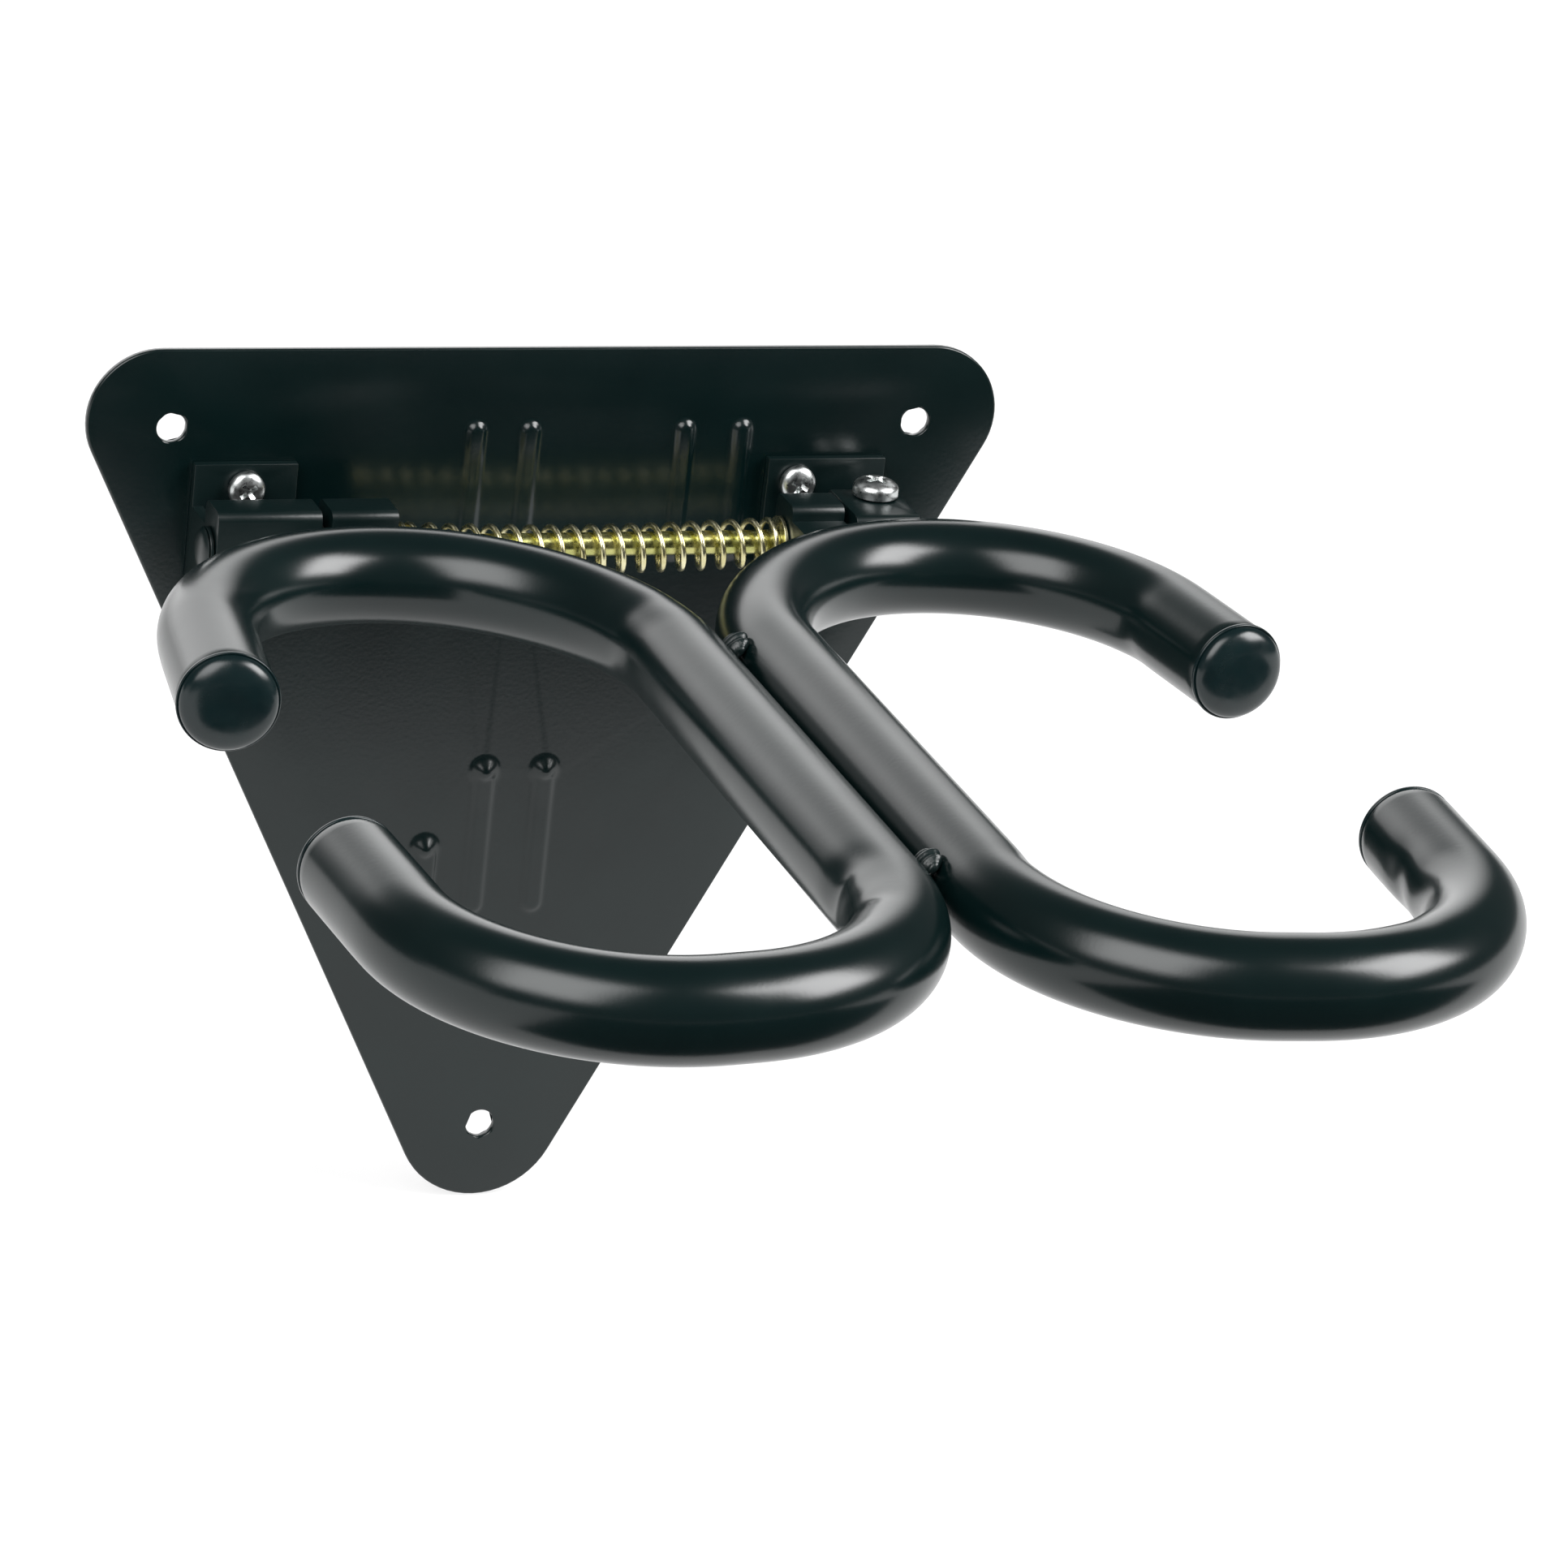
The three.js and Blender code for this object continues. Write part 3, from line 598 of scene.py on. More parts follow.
def run_pieces(start, heading, turn, run):
    """Points, headings and bend strength along a run of bends and straights."""
    samples = [(start.copy(), heading, 0.0)]
    point = start.copy()
    for piece in run:
        if len(piece) == 1:
            length, curvature = piece[0], 0.0
        else:
            radius, degrees = piece
            length, curvature = radius * math.radians(degrees), turn / radius
        steps = max(2, round(length / RING_STEP))
        origin, first = point.copy(), heading
        for k in range(1, steps + 1):
            s = length * k / steps
            if curvature:
                heading = first + curvature * s
                centre = origin + Vector((-math.sin(first), math.cos(first))) / curvature
                point = centre + Vector((math.sin(heading), -math.cos(heading))) / curvature
            else:
                point = origin + Vector((math.cos(first), math.sin(first))) * s
            samples.append((point.copy(), heading, curvature))
    return samples


def loop_samples(name):
    """A loop's centreline in plan, from its rear end to its front end."""
    x = ARMS_X + SIDES[name] * MIDDLE_HALF_PITCH
    side = SIDES[name]
    rear = run_pieces(Vector((x, MIDDLE_REAR_Y)), math.pi / 2, -side, REAR_BENDS + [(REAR_END[name],)])
    middle = run_pieces(Vector((x, MIDDLE_REAR_Y)), -math.pi / 2, 0, [(MIDDLE_REAR_Y - MIDDLE_FRONT_Y,)])
    front = run_pieces(Vector((x, MIDDLE_FRONT_Y)), -math.pi / 2, side, FRONT_RUN)
    backwards = [(p, heading + math.pi, curvature) for p, heading, curvature in reversed(rear)]
    return backwards + middle[1:] + front[1:]


def make_tube(name):
    side = SIDES[name]
    samples = loop_samples(name)
    distance, travelled = [0.0], 0.0
    for (a, *_), (b, *_) in zip(samples, samples[1:]):
        travelled += (b - a).length
        distance.append(travelled)
    bend = [abs(curvature) * FULL_BEND_RADIUS for *_, curvature in samples]
    for _ in range(4):
        bend = [sum(bend[max(0, i - 1):i + 2]) / len(bend[max(0, i - 1):i + 2]) for i in range(len(bend))]
    wrinkles = WRINKLES[name]

    def ring(index, base_radius, dented):
        point, heading, _ = samples[index]
        inwards = Vector((-math.sin(heading), math.cos(heading), 0)) * side
        result = []
        for angle in full_turn(TUBE_SIDES):
            radius = base_radius
            if dented:
                # a bent tube is a little flatter across the bend, most of all on its outside
                radius -= FLAT_OUTSIDE * bend[index] * max(0.0, -math.cos(angle)) ** 2
                radius -= FLAT_INSIDE * bend[index] * max(0.0, math.cos(angle)) ** 2
                for where, up, depth, half_length, half_angle in wrinkles:
                    along = (distance[index] / MM - where) / half_length
                    turn = (math.degrees(angle) - up + 180) % 360 - 180
                    across = turn / half_angle
                    if abs(along) < 3 and abs(across) < 3:
                        radius -= depth * MM * math.exp(-along * along - across * across)
            offset = inwards * math.cos(angle) * radius + Vector((0, 0, math.sin(angle) * radius))
            result.append(Vector((point.x, point.y, ARMS_Z)) + offset)
        return result

    last = len(samples) - 1
    outer = [ring(i, TUBE_RADIUS, True) for i in range(len(samples))]
    inner = [ring(i, TUBE_RADIUS - TUBE_WALL, False) for i in range(0, len(samples), INNER_RING_EVERY)]
    if last % INNER_RING_EVERY:
        inner.append(ring(last, TUBE_RADIUS - TUBE_WALL, False))
    for end in (0, -1):
        centre = sum(outer[end], Vector()) / TUBE_SIDES
        outer[end] = [centre + (p - centre) * (1 - END_ROUNDING / TUBE_RADIUS) for p in outer[end]]
    tube = loft(f"{name}_bent_tube", outer + inner[::-1], close_rings=True)
    smooth_by_angle(tube, 40)
    return tube, samples


def end_frame(samples, front):
    """Where a loop's end is, and which way it points."""
    point, heading, _ = samples[-1 if front else 0]
    if not front:
        heading += math.pi
    return Vector((point.x, point.y, ARMS_Z)), heading


CAP_FLANGE_RADIUS = {"rear": 12.9 * MM, "front": 12.45 * MM}
CAP_FLANGE = 1.2 * MM
CAP_DOME = 4.6 * MM
CAP_PLUG = 12 * MM
# the face is a superellipse of these powers: flat in the middle, with a round shoulder
CAP_ACROSS_POWER, CAP_UP_POWER = 2.6, 2.1
CAP_RIM_POWER = 1.7  # the face's rings are closer together near its rim
CAP_FACE_INSET = 0.6 * MM  # the face is this much smaller than the flange
CAP_RIBS = 3
FIRST_RIB, RIB_PITCH, RIB_DEPTH = 2.4 * MM, 3.0 * MM, 0.9 * MM
FLANGE_ROUNDING = 0.35 * MM


def make_cap(name, end, heading, flange):
    """A push-in cap: ribbed plug, thin flange over the tube's end and a domed face."""
    plug = TUBE_RADIUS - TUBE_WALL - GAP
    core = plug - RIB_DEPTH
    profile = [(0, -CAP_PLUG), (core - 0.8 * MM, -CAP_PLUG), (core, 0.8 * MM - CAP_PLUG)]
    for rib in range(CAP_RIBS):
        foot = -CAP_PLUG + FIRST_RIB + RIB_PITCH * rib
        profile += [(core, foot), (plug, foot + 0.7 * MM), (plug, foot + 1.1 * MM), (core, foot + 1.5 * MM)]
    flange_top = GAP + CAP_FLANGE
    rim = flange - FLANGE_ROUNDING
    profile += [(core, GAP), (rim, GAP)]
    profile += arc_points((rim, GAP + FLANGE_ROUNDING), FLANGE_ROUNDING, -90, 0, 3)[1:]
    profile += arc_points((rim, flange_top - FLANGE_ROUNDING), FLANGE_ROUNDING, 0, 90, 3)
    face = flange - CAP_FACE_INSET
    profile.append((face, flange_top - 0.15 * MM))
    steps = 30
    for k in range(1, steps + 1):
        radius = face * (1 - (k / steps) ** CAP_RIM_POWER)
        fraction = (radius / face) ** CAP_ACROSS_POWER
        profile.append((radius, flange_top + CAP_DOME * (1 - fraction) ** (1 / CAP_UP_POWER)))
    cap = turned(name, profile, 72)
    smooth_by_angle(cap, 50)
    cap.data.transform(Matrix.Translation(end) @ Matrix.Rotation(heading + math.pi / 2, 4, "Z")
                       @ Matrix.Rotation(math.pi / 2, 4, "X"))
    return cap


def make_arms():
    for name in SIDES:
        tube, samples = make_tube(name)
        finish_piece(tube, ARMS, TUBE_COAT, "powder_coat", f"{name}_arm_tube")
        for place, front in (("rear", False), ("front", True)):
            end, heading = end_frame(samples, front)
            cap = make_cap(f"domed_cap_{name}_{place}", end, heading, CAP_FLANGE_RADIUS[place])
            finish_piece(cap, ARMS, CAP_PLASTIC, "cap_plastic", f"cap_{name}_{place}")


# ---- Welds ----


WELD_RIPPLE, WELD_WOBBLE = 0.16, 0.04  # shares of the bead's width


def weld_blob(name, start, end, width, height, seed, ripples):
    """A lumpy bead of weld metal between two points: a rippled bar with rounded ends."""
    rng = random.Random(seed)
    axis = end - start
    length = axis.length
    axis.normalize()
    side = axis.orthogonal().normalized()
    up = axis.cross(side)
    if abs(up.z) < abs(side.z):
        side, up = up, side
    rings = []
    steps = 26
    for k in range(steps + 1):
        t = k / steps
        taper = math.sin(math.pi * (0.03 + 0.94 * t)) ** 0.45
        ripple = 1 + WELD_RIPPLE * math.sin(2 * math.pi * ripples * t + rng.uniform(-0.4, 0.4))
        wobble = side * rng.uniform(-WELD_WOBBLE, WELD_WOBBLE) * width
        centre = start + axis * length * t + wobble
        rings.append([centre + side * math.cos(a) * width * taper * ripple
                      + up * math.sin(a) * height * taper * ripple
                      for a in full_turn(20)])
    return smooth_by_angle(loft(name, rings), 60)


# ---- Hinge ----

# lengths in this part are in mm, apart from those with MM
# a knuckle's reach in front of, behind and above the rod's axis
KNUCKLE = (6.5, 6.5, 12)
RIGHT_KNUCKLE = (11, 13, 10.5)
RIGHT_KNUCKLE_START = 77.4 * MM
KNUCKLE_BOTTOM = -10
KNUCKLE_CORNER = 2.3
KNUCKLE_CHAMFER = 1.5
SHEET = 2.5
EAR = 3 * MM
BASE_THICKNESS = 3
BASE_TOP, BASE_BOTTOM = 16.5, -27
STANDOFF_TOP, STANDOFF_DROP = 5, 4
NECK_TOP, NECK_BOTTOM, NECK_ROOT, NECK_LENGTH = 8, -3, 5, 32
HEEL_TOP, HEEL_BOTTOM = -4, -15
MERGE = 1  # overlap of shapes that are joined
BACK = (ROD_Y + PLATE_THICKNESS) / MM  # the plate's front, as a distance in front of the rod
EDGE = 0.15 * MM  # rounding of the folded sheet's edges
BUSH_HOLE = 4.9 * MM


def knuckle_outline(knuckle):
    front, back, top = knuckle
    shoulder = top - KNUCKLE_CORNER
    outline = [(-back, KNUCKLE_BOTTOM), (front, KNUCKLE_BOTTOM)]
    outline += arc_points((front - KNUCKLE_CORNER, shoulder), KNUCKLE_CORNER, 0, 90, 8)
    outline += arc_points((KNUCKLE_CORNER - back, shoulder), KNUCKLE_CORNER, 90, 180, 8)
    return outline


def knuckle_hollow(knuckle, x):
    front, back, top = knuckle
    ceiling, inside, behind = top - SHEET, front - SHEET, SHEET - back
    slope = ceiling - KNUCKLE_CHAMFER
    floor = KNUCKLE_BOTTOM - MERGE
    outline = [(behind, floor), (inside, floor), (inside, slope), (inside - KNUCKLE_CHAMFER, ceiling),
               (behind + KNUCKLE_CHAMFER, ceiling), (behind, slope)]
    return side_profile("hollow", outline, (x[0] + EAR, x[1] - EAR))


def round_cutter(radius, length):
    """A cylinder about +Z, centred on the origin, used to cut a hole."""
    half = length / 2
    return turned("hole", [(0, -half), (radius, -half), (radius, half), (0, half)], 48)


def rod_hole(radius, x):
    hole = along_x(round_cutter(radius, x[1] - x[0] + 2 * MM))
    return moved(hole, (x[0] + x[1]) / 2, ROD_Y, ROD_Z)


def make_bracket(side):
    low, high = node_box(f"{side}_bracket")
    base_x = (low.x, high.x)
    knuckle = KNUCKLE if side == "left" else RIGHT_KNUCKLE
    knuckle_x = base_x if side == "left" else (RIGHT_KNUCKLE_START, high.x)
    base_front = BACK + BASE_THICKNESS
    base_back = BACK + GAP / MM
    base = [(base_back, BASE_BOTTOM), (base_front, BASE_BOTTOM),
            (base_front, BASE_TOP), (base_back, BASE_TOP)]
    bracket = side_profile(f"{side}_hinge_bracket", base, base_x)
    joined = MERGE - knuckle[1]
    standoff = [(base_front - MERGE, KNUCKLE_BOTTOM - STANDOFF_DROP), (joined, KNUCKLE_BOTTOM),
                (joined, STANDOFF_TOP), (base_front - MERGE, STANDOFF_TOP)]
    ears = [side_profile("ear", standoff, (x, x + EAR)) for x in (knuckle_x[0], knuckle_x[1] - EAR)]
    housing = side_profile("knuckle", knuckle_outline(knuckle), knuckle_x)
    combine(bracket, "UNION", housing, *ears)
    combine(bracket, "DIFFERENCE", knuckle_hollow(knuckle, knuckle_x), rod_hole(ROD_RADIUS + GAP, base_x))
    for level in ("top", "bottom"):
        place = node_middle(f"{side}_bracket_screw_{level}")
        hole = facing_front(round_cutter(TAPPED_HOLE_RADIUS, 12 * MM))
        combine(bracket, "DIFFERENCE", moved(hole, place.x, -5 * MM, place.z))
    if side == "right":
        place = node_middle("rod_lock_screw")
        hole = moved(round_cutter(TAPPED_HOLE_RADIUS, 10 * MM), place.x, place.y, high_of_knuckle())
        combine(bracket, "DIFFERENCE", hole)
    bevel(bracket, EDGE, segments=3)
    return finish_piece(bracket, WALL, HINGE_COAT, "powder_coat", f"{side}_bracket")


def high_of_knuckle():
    """The height of the right knuckle's top face."""
    return ROD_Z + RIGHT_KNUCKLE[2] * MM


def make_lug(side):
    low, high = node_box(f"{side}_lug")
    x = (low.x, high.x)
    heel_end = BACK + GAP / MM + (0 if side == "left" else BASE_THICKNESS)
    root = NECK_BOTTOM - NECK_ROOT
    lug = side_profile(f"{side}_hinge_lug", knuckle_outline(KNUCKLE), x)
    neck = side_profile("neck", [(0, root), (KNUCKLE[0], root), (NECK_LENGTH, NECK_BOTTOM),
                                 (NECK_LENGTH, NECK_TOP), (0, NECK_TOP)], x)
    heel = side_profile("heel", [(heel_end, HEEL_BOTTOM), (0, HEEL_BOTTOM), (0, HEEL_TOP),
                                 (heel_end, HEEL_TOP)], x)
    combine(lug, "UNION", neck, heel)
    floor, far = HEEL_BOTTOM - MERGE, NECK_LENGTH + MERGE
    channel = side_profile("channel", [
        (heel_end + SHEET, floor), (far, floor), (far, NECK_TOP - SHEET), (0, NECK_TOP - SHEET),
        (0, HEEL_TOP - SHEET), (heel_end + SHEET, HEEL_TOP - SHEET)], (x[0] + EAR, x[1] - EAR))
    hollow = knuckle_hollow(KNUCKLE, x)
    combine(lug, "DIFFERENCE", hollow, channel, rod_hole(BUSH_HOLE, x), saddle_cutter(side))
    bevel(lug, EDGE, segments=3)
    return finish_piece(lug, ARMS, HINGE_COAT, "powder_coat", f"{side}_lug")


def saddle_cutter(side):
    """A solid copy of the tube with the gap added, near the lug only."""
    samples = loop_samples(side)
    near = [s for s in samples if s[0].y > -120 * MM]
    rings = []
    for point, heading, _ in near[::3]:
        across = Vector((-math.sin(heading), math.cos(heading), 0))
        centre = Vector((point.x, point.y, ARMS_Z))
        rings.append([centre + (across * math.cos(a) + Vector((0, 0, math.sin(a)))) * (TUBE_RADIUS + GAP)
                      for a in full_turn(64)])
    return loft("saddle", rings)


# ---- Fasteners, rod, spring and ties ----

SCREW_RADIUS = 2.5 * MM
BRACKET_HEAD_RADIUS, BRACKET_HEAD_HEIGHT = 4.9 * MM, 3.4 * MM
LOCK_HEAD_RADIUS, LOCK_HEAD_HEIGHT = 6.2 * MM, 4.6 * MM
THREAD_PITCH = 0.8 * MM
THREAD_ROOT = 0.84  # the thread's root, as a share of the shank's radius
HEAD_FLAT = 0.30  # the flat middle of a screw's head, as a share of its radius
ROD_HEAD_RADIUS, ROD_HEAD_LENGTH = 6 * MM, 1.6 * MM
ROD_TIP = 0.7 * MM  # chamfer at the rod's end
# half the section of the rod's domed head, as shares of its radius and length
ROD_DOME = [(0, 0), (0.35, 0.03), (0.6, 0.14), (0.8, 0.34), (0.93, 0.6), (1, 0.9)]
NUT_CORNER = 5.8 * MM
SPRING_WIRE_RADIUS = 0.8 * MM
SPRING_TURNS = 20
SPRING_SAG = 1.4 * MM


def phillips_cut(piece, head_radius, top, depth):
    """A cross recess with sloping blades and a conical middle, cut into a head that faces +Z."""
    arm, blade = head_radius * 0.58, head_radius * 0.13
    for turn in (0, 90):
        corners = []
        for z, reach in ((top + 0.6 * MM, 1.06), (top - depth, 0.42)):
            for sx, sy in ((-1, -1), (1, -1), (1, 1), (-1, 1)):
                corners.append((sx * arm * reach, sy * blade * (0.75 + 0.25 * reach), z))
        faces = [(0, 1, 2, 3), (7, 6, 5, 4), (0, 4, 5, 1), (1, 5, 6, 2), (2, 6, 7, 3), (3, 7, 4, 0)]
        wing = object_from("wing", corners, faces, smooth=False)
        wing.data.transform(Matrix.Rotation(math.radians(turn), 4, "Z"))
        combine(piece, "DIFFERENCE", wing)
    cone = turned("cone", [(0, top - depth * 1.15), (blade * 1.1, top - depth), (blade * 2.1, top + 0.6 * MM),
                           (0, top + 0.6 * MM)], 32)
    combine(piece, "DIFFERENCE", cone)
    return piece


def make_screw(name, shank, head_radius, head_height, length):
    """A pan-head screw about +Z, its head's underside at 0; the shank has a thread."""
    profile = [(0, -length), (shank * 0.7, -length)]
    root = shank * THREAD_ROOT
    z = -length + 0.5 * MM
    while z < -1.2 * MM:
        profile += [(root, z), (shank, z + THREAD_PITCH * 0.45), (shank, z + THREAD_PITCH * 0.55)]
        z += THREAD_PITCH
    profile += [(root, -0.9 * MM), (shank, -0.6 * MM), (shank, 0), (head_radius * 0.96, 0)]
    profile.append((head_radius, 0.25 * MM))
    side_top = head_height * 0.45
    profile.append((head_radius, side_top))
    crown = head_height - side_top
    steps = 10
    for k in range(1, steps):
        angle = math.pi / 2 * k / steps
        radius = head_radius * (HEAD_FLAT + (1 - HEAD_FLAT) * math.cos(angle))
        profile.append((radius, side_top + crown * math.sin(angle)))
    profile += [(head_radius * HEAD_FLAT, head_height), (0, head_height)]
    screw = turned(name, profile, 56)
    phillips_cut(screw, head_radius, head_height, min(2.4 * MM, head_height * 0.62))
    bevel(screw, 0.12 * MM, segments=2, degrees=38)
    return screw


def make_fasteners():
    rng = random.Random(11)
    for side in ("left", "right"):
        for level in ("top", "bottom"):
            node = f"{side}_bracket_screw_{level}"
            low, high = node_box(node)
            centre = (low + high) / 2
            head = BRACKET_HEAD_HEIGHT
            length = high.y - low.y - head
            screw = make_screw(f"phillips_{node}", SCREW_RADIUS, BRACKET_HEAD_RADIUS, head, length)
            screw.data.transform(Matrix.Rotation(rng.uniform(0.2, 1.2), 4, "Z"))
            moved(facing_front(screw), centre.x, low.y + head, centre.z)
            finish_piece(screw, WALL, BRIGHT_ZINC, "bright_zinc", node)
    low, high = node_box("rod_lock_screw")
    centre = (low + high) / 2
    head = LOCK_HEAD_HEIGHT
    length = high.z - low.z - head
    screw = make_screw("phillips_rod_lock_screw", SCREW_RADIUS, LOCK_HEAD_RADIUS, head, length)
    screw.data.transform(Matrix.Rotation(0.5, 4, "Z"))
    moved(screw, centre.x, centre.y, high.z - head)
    finish_piece(screw, WALL, BRIGHT_ZINC, "bright_zinc", "rod_lock_screw")


def ring_on_rod(name, node, inner, rounding):
    low, high = node_box(node)
    outer = (high.z - low.z) / 2
    length = high.x - low.x
    profile = rounded_profile([(inner, 0), (outer, 0), (outer, length), (inner, length)], rounding)
    return moved(along_x(turned(name, profile, 72)), low.x, ROD_Y, ROD_Z)


def make_rod():
    low, high = node_box("hinge_rod")
    length = high.x - low.x
    profile = [(radius * ROD_HEAD_RADIUS, height * ROD_HEAD_LENGTH) for radius, height in ROD_DOME]
    profile += [(ROD_HEAD_RADIUS, ROD_HEAD_LENGTH), (ROD_RADIUS, ROD_HEAD_LENGTH),
                (ROD_RADIUS, length - ROD_TIP), (ROD_RADIUS - ROD_TIP, length), (0, length)]
    rod = along_x(turned("zinc_hinge_rod", profile, 64))
    moved(rod, low.x, ROD_Y, ROD_Z)
    finish_piece(rod, WALL, ROD_ZINC, "yellow_zinc", "hinge_rod")
    # the head outside the left bracket carries the black coat
    rod.data.materials.append(HINGE_COAT)
    for face in rod.data.polygons:
        if face.center.x < low.x + ROD_HEAD_LENGTH + 0.1 * MM:
            face.material_index = 1


def make_nut():
    low, high = node_box("rod_nut")
    length = high.x - low.x
    flat = NUT_CORNER * math.cos(math.pi / 6)
    blank, slope = NUT_CORNER * 1.01, 0.9 * MM
    chamfer = turned("nut_blank", [(0, 0), (flat, 0), (blank, slope), (blank, length - slope),
                                   (flat, length), (0, length)], 72)
    hexagon = []
    for z in (-MM, length + MM):
        hexagon.append([(NUT_CORNER * math.cos(a), NUT_CORNER * math.sin(a), z)
                        for a in [math.pi / 3 * j for j in range(6)]])
    nut = loft("zinc_rod_nut", hexagon, smooth=False)
    combine(nut, "INTERSECT", chamfer)
    inner = ROD_RADIUS + GAP
    bore = turned("bore", [(0, -MM), (inner, -MM), (inner, length + MM), (0, length + MM)], 48)
    combine(nut, "DIFFERENCE", bore)
    bevel(nut, 0.2 * MM, segments=2)
    nut.data.transform(Matrix.Rotation(math.radians(17), 4, "Z"))
    moved(along_x(nut), low.x, ROD_Y, ROD_Z)
    finish_piece(nut, WALL, BRIGHT_ZINC, "bright_zinc", "rod_nut")


def make_spring():
    """A round-wire compression spring with closed end turns, sagging a little in the middle."""
    low, high = node_box("spring")
    wire, turns = SPRING_WIRE_RADIUS, SPRING_TURNS
    radius = (high.z - low.z) / 2 - wire
    closed = 2 * wire + GAP
    start, end = low.x + wire, high.x - wire
    pitch = (end - start - 2 * closed) / (turns - 2)
    rings = []
    per_turn = 56
    for k in range(turns * per_turn + 1):
        turn = k / per_turn
        x = start + min(turn, 1) * closed + min(max(turn - 1, 0), turns - 2) * pitch
        x += max(turn - turns + 1, 0) * closed
        angle = 2 * math.pi * turn
        outward = Vector((0, math.cos(angle), math.sin(angle)))
        advance = closed if turn < 1 or turn > turns - 1 else pitch
        along = Vector((advance / (2 * math.pi * radius), -math.sin(angle), math.cos(angle))).normalized()
        across = along.cross(outward)
        sag = SPRING_SAG * math.sin(math.pi * (x - low.x) / (high.x - low.x))
        centre = Vector((x, ROD_Y, ROD_Z - sag)) + outward * radius
        rings.append([centre + (outward * math.cos(a) + across * math.sin(a)) * wire
                      for a in full_turn(14)])
    spring = smooth_by_angle(loft("compression_spring", rings), 60)
    finish_piece(spring, ARMS, SPRING_ZINC, "yellow_zinc", "spring")


def make_rings():
    bore = ROD_RADIUS + GAP
    for side in ("left", "right"):
        piece = ring_on_rod(f"zinc_washer_{side}", f"rod_washer_{side}", bore, 0.25 * MM)
        coat = HINGE_COAT if side == "left" else BRIGHT_ZINC
        finish_piece(piece, WALL, coat, "bright_zinc", f"rod_washer_{side}")
        piece = ring_on_rod(f"nylon_bush_{side}", f"{side}_bush", bore, 0.3 * MM)
        finish_piece(piece, ARMS, NYLON, "nylon", f"{side}_bush")
        piece = ring_on_rod(f"nylon_washer_{side}", f"{side}_friction_washer", bore, 0.25 * MM)
        finish_piece(piece, ARMS, NYLON, "nylon", f"{side}_friction_washer")
        piece = ring_on_rod(f"zinc_seat_{side}", f"spring_seat_{side}", bore, 0.2 * MM)
        finish_piece(piece, ARMS, SPRING_ZINC, "yellow_zinc", f"spring_seat_{side}")


def make_ties():
    for index, place in enumerate(("rear", "front")):
        low, high = node_box(f"tie_{place}")
        y = (low.y + high.y) / 2
        half = 0.8 * (high.y - low.y) / 2
        z = low.z + 2.4 * MM
        width, height, ripples = (3.8 - 0.4 * index) * MM, 2.2 * MM, 3.0
        start, end = Vector((ARMS_X, y + half, z)), Vector((ARMS_X, y - half, z))
        blob = weld_blob(f"weld_tie_{place}", start, end, width, height, 5 + index, ripples)
        finish_piece(blob, ARMS, WELD_COAT, "powder_coat", f"tie_{place}")


make_wall_plate()
make_arms()
for hinge_side in ("left", "right"):
    make_bracket(hinge_side)
    make_lug(hinge_side)
make_fasteners()
make_rod()
make_nut()
make_spring()
make_rings()
make_ties()

# ---- Studio: floor, soft lamps and camera ----

AIM = Vector((50.5, -72.2, -76.1)) * MM
AZIMUTH, ELEVATION, ROLL = 21.64, 21.23, 6.63
CAMERA_DISTANCE = 1.864
LENS, SENSOR = 162.25, 36.0


def direction(azimuth, elevation):
    """A unit vector; azimuth is measured from -Y towards +X."""
    a, e = math.radians(azimuth), math.radians(elevation)
    return Vector((math.sin(a) * math.cos(e), -math.cos(a) * math.cos(e), math.sin(e)))


LIT_MIDDLE = Vector((0, -150, -50)) * MM  # the lamps face this place
LAMP_MARGIN = 0.3  # the share of a softbox's width over which it fades, at each edge
ROOM_TONE = (0.09, 0.09, 0.092, 1)  # the room's light on the rack
PAGE_TONE = (0.98, 0.98, 0.98, 1)  # what the camera sees behind the rack


def fade_edges(lamp):
    """The softbox is brightest in the middle and fades to nothing at its edges."""
    lamp.use_nodes = True
    tree = lamp.node_tree
    place = tree.nodes.new("ShaderNodeSeparateXYZ")
    tree.links.new(tree.nodes.new("ShaderNodeNewGeometry").outputs["Parametric"], place.inputs["Vector"])
    both = tree.nodes.new("ShaderNodeMath")
    both.operation = "MULTIPLY"
    for index, axis in enumerate("XY"):
        centred = tree.nodes.new("ShaderNodeMath")
        centred.operation = "SUBTRACT"
        centred.inputs[1].default_value = 0.5
        tree.links.new(place.outputs[axis], centred.inputs[0])
        distance = tree.nodes.new("ShaderNodeMath")
        distance.operation = "ABSOLUTE"
        tree.links.new(centred.outputs["Value"], distance.inputs[0])
        fade = tree.nodes.new("ShaderNodeMapRange")
        fade.interpolation_type = "SMOOTHSTEP"
        fade.inputs["From Min"].default_value = 0.5 - LAMP_MARGIN
        fade.inputs["From Max"].default_value = 0.5
        fade.inputs["To Min"].default_value = 1.0
        fade.inputs["To Max"].default_value = 0.0
        tree.links.new(distance.outputs["Value"], fade.inputs["Value"])
        tree.links.new(fade.outputs["Result"], both.inputs[index])
    tree.links.new(both.outputs["Value"], tree.nodes["Emission"].inputs["Strength"])


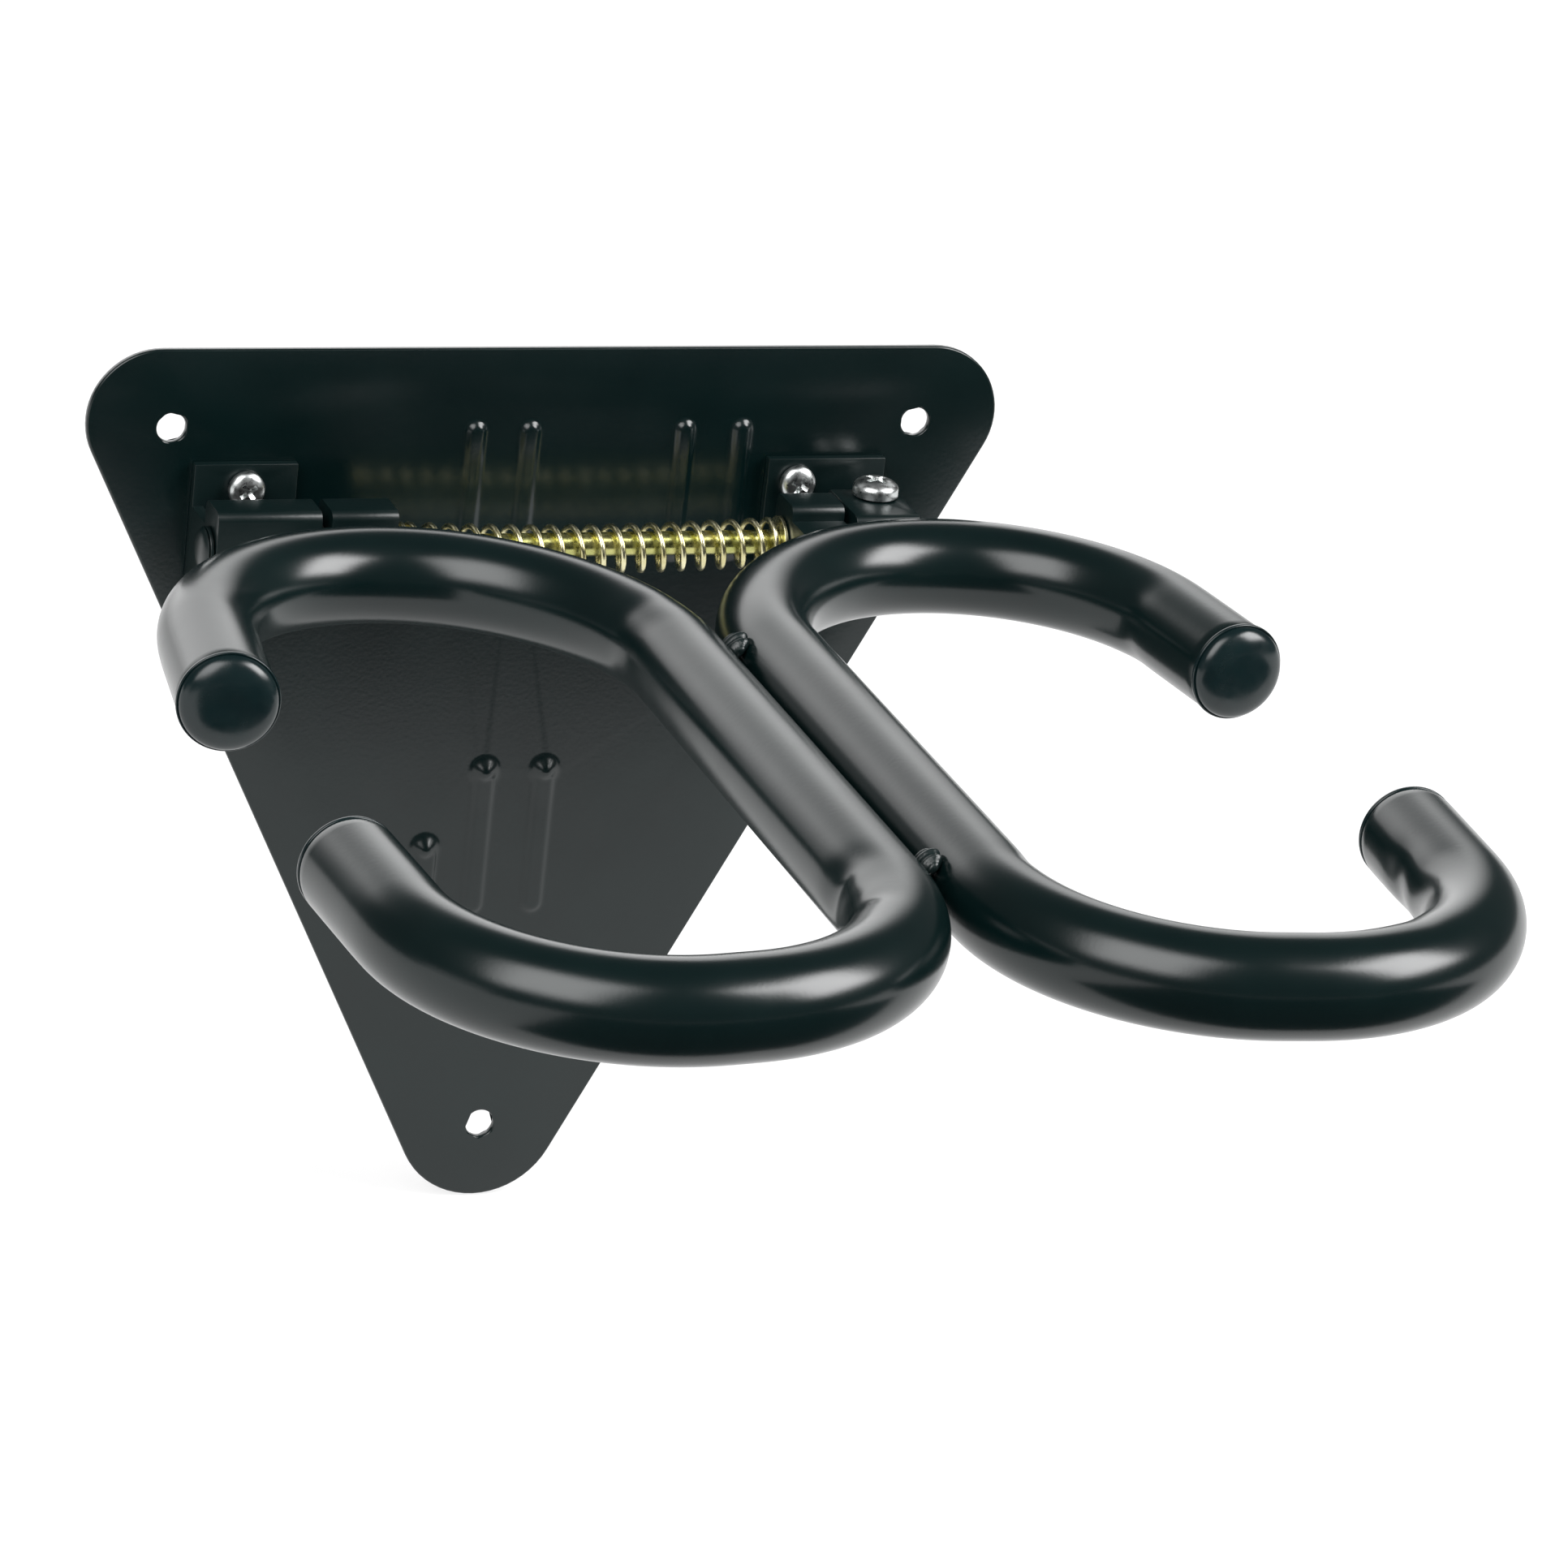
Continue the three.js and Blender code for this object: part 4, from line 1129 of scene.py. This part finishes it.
def soft_lamp(name, azimuth, elevation, distance, width, height, radiance):
    """A softbox of the given angular size in degrees, seen from the rack's middle."""
    lamp = bpy.data.lights.new(name, "AREA")
    fade_edges(lamp)
    lamp.shape = "RECTANGLE"
    lamp.size = 2 * distance * math.tan(math.radians(width / 2))
    lamp.size_y = 2 * distance * math.tan(math.radians(height / 2))
    lamp.energy = radiance * math.pi * lamp.size * lamp.size_y
    holder = bpy.data.objects.new(name, lamp)
    towards = direction(azimuth, elevation)
    holder.location = LIT_MIDDLE + towards * distance
    holder.rotation_euler = towards.to_track_quat("Z", "Y").to_euler()
    holder.visible_camera = False
    bpy.context.scene.collection.objects.link(holder)


def flat_material(name, colour, emission):
    """Plain paper that may glow a little."""
    m = Nodes(name, Roughness=0.9, Specular_IOR_Level=0.0)
    tone = m.noise(3, detail=3)
    m.colour(m.ramp(tone, tuple(c * 0.98 for c in colour), colour))
    m.shader.inputs["Emission Color"].default_value = (1, 1, 1, 1)
    m.shader.inputs["Emission Strength"].default_value = emission
    return m.material


def make_studio():
    floor_z = CAD_BOX[0][2] - 0.5 * MM
    reach = 14.0
    corners = [(x * reach, y * reach, floor_z) for x, y in ((-1, -1), (1, -1), (1, 1), (-1, 1))]
    floor = object_from("floor", corners, [(0, 1, 2, 3)], smooth=False)
    floor.data.materials.append(flat_material("floor_paper", (0.26, 0.26, 0.26), 0.80))
    # a dark studio in front of the rack, seen only in its reflections
    near, far = -0.385, -6.0
    card_z = floor_z + 1 * MM
    corners = [(-0.245, near, card_z), (0.80, near, card_z), (7.0, far, card_z), (-4.2, far, card_z)]
    card = object_from("dark_card", corners, [(0, 1, 2, 3)], smooth=False)
    card.data.materials.append(flat_material("dark_paper", (0.02, 0.022, 0.022), 0.0))
    card.visible_camera = False
    card.visible_diffuse = False
    card.visible_shadow = False

    soft_lamp("lamp_left", -50, 46, 4.0, 52, 62, 5.8)
    soft_lamp("lamp_right", 62, 40, 4.0, 43, 45, 13.0)
    soft_lamp("backdrop", 179, 16, 4.0, 76, 46, 2.3)
    soft_lamp("reflector_left", -82, 2, 3.0, 40, 16, 0.7)

    world = bpy.data.worlds.new("studio")
    world.use_nodes = True
    tree = world.node_tree
    background = tree.nodes["Background"]
    rays = tree.nodes.new("ShaderNodeLightPath")
    mix = tree.nodes.new("ShaderNodeMix")
    mix.data_type = "RGBA"
    mix.inputs["A"].default_value = ROOM_TONE
    mix.inputs["B"].default_value = PAGE_TONE
    tree.links.new(rays.outputs["Is Camera Ray"], mix.inputs["Factor"])
    tree.links.new(mix.outputs["Result"], background.inputs["Color"])
    bpy.context.scene.world = world


def make_camera():
    camera = bpy.data.cameras.new("camera")
    camera.lens = LENS
    camera.sensor_width = SENSOR
    camera.clip_start, camera.clip_end = 0.05, 60
    holder = bpy.data.objects.new("camera", camera)
    backwards = direction(-AZIMUTH, ELEVATION)
    holder.location = AIM + backwards * CAMERA_DISTANCE
    upright = backwards.to_track_quat("Z", "Y").to_matrix().to_4x4()
    turned_by = Matrix.Rotation(math.radians(ROLL), 4, "Z")
    holder.matrix_world = Matrix.Translation(holder.location) @ upright @ turned_by
    bpy.context.scene.collection.objects.link(holder)
    bpy.context.scene.camera = holder


make_studio()
make_camera()
bpy.context.scene.view_settings.view_transform = "Standard"
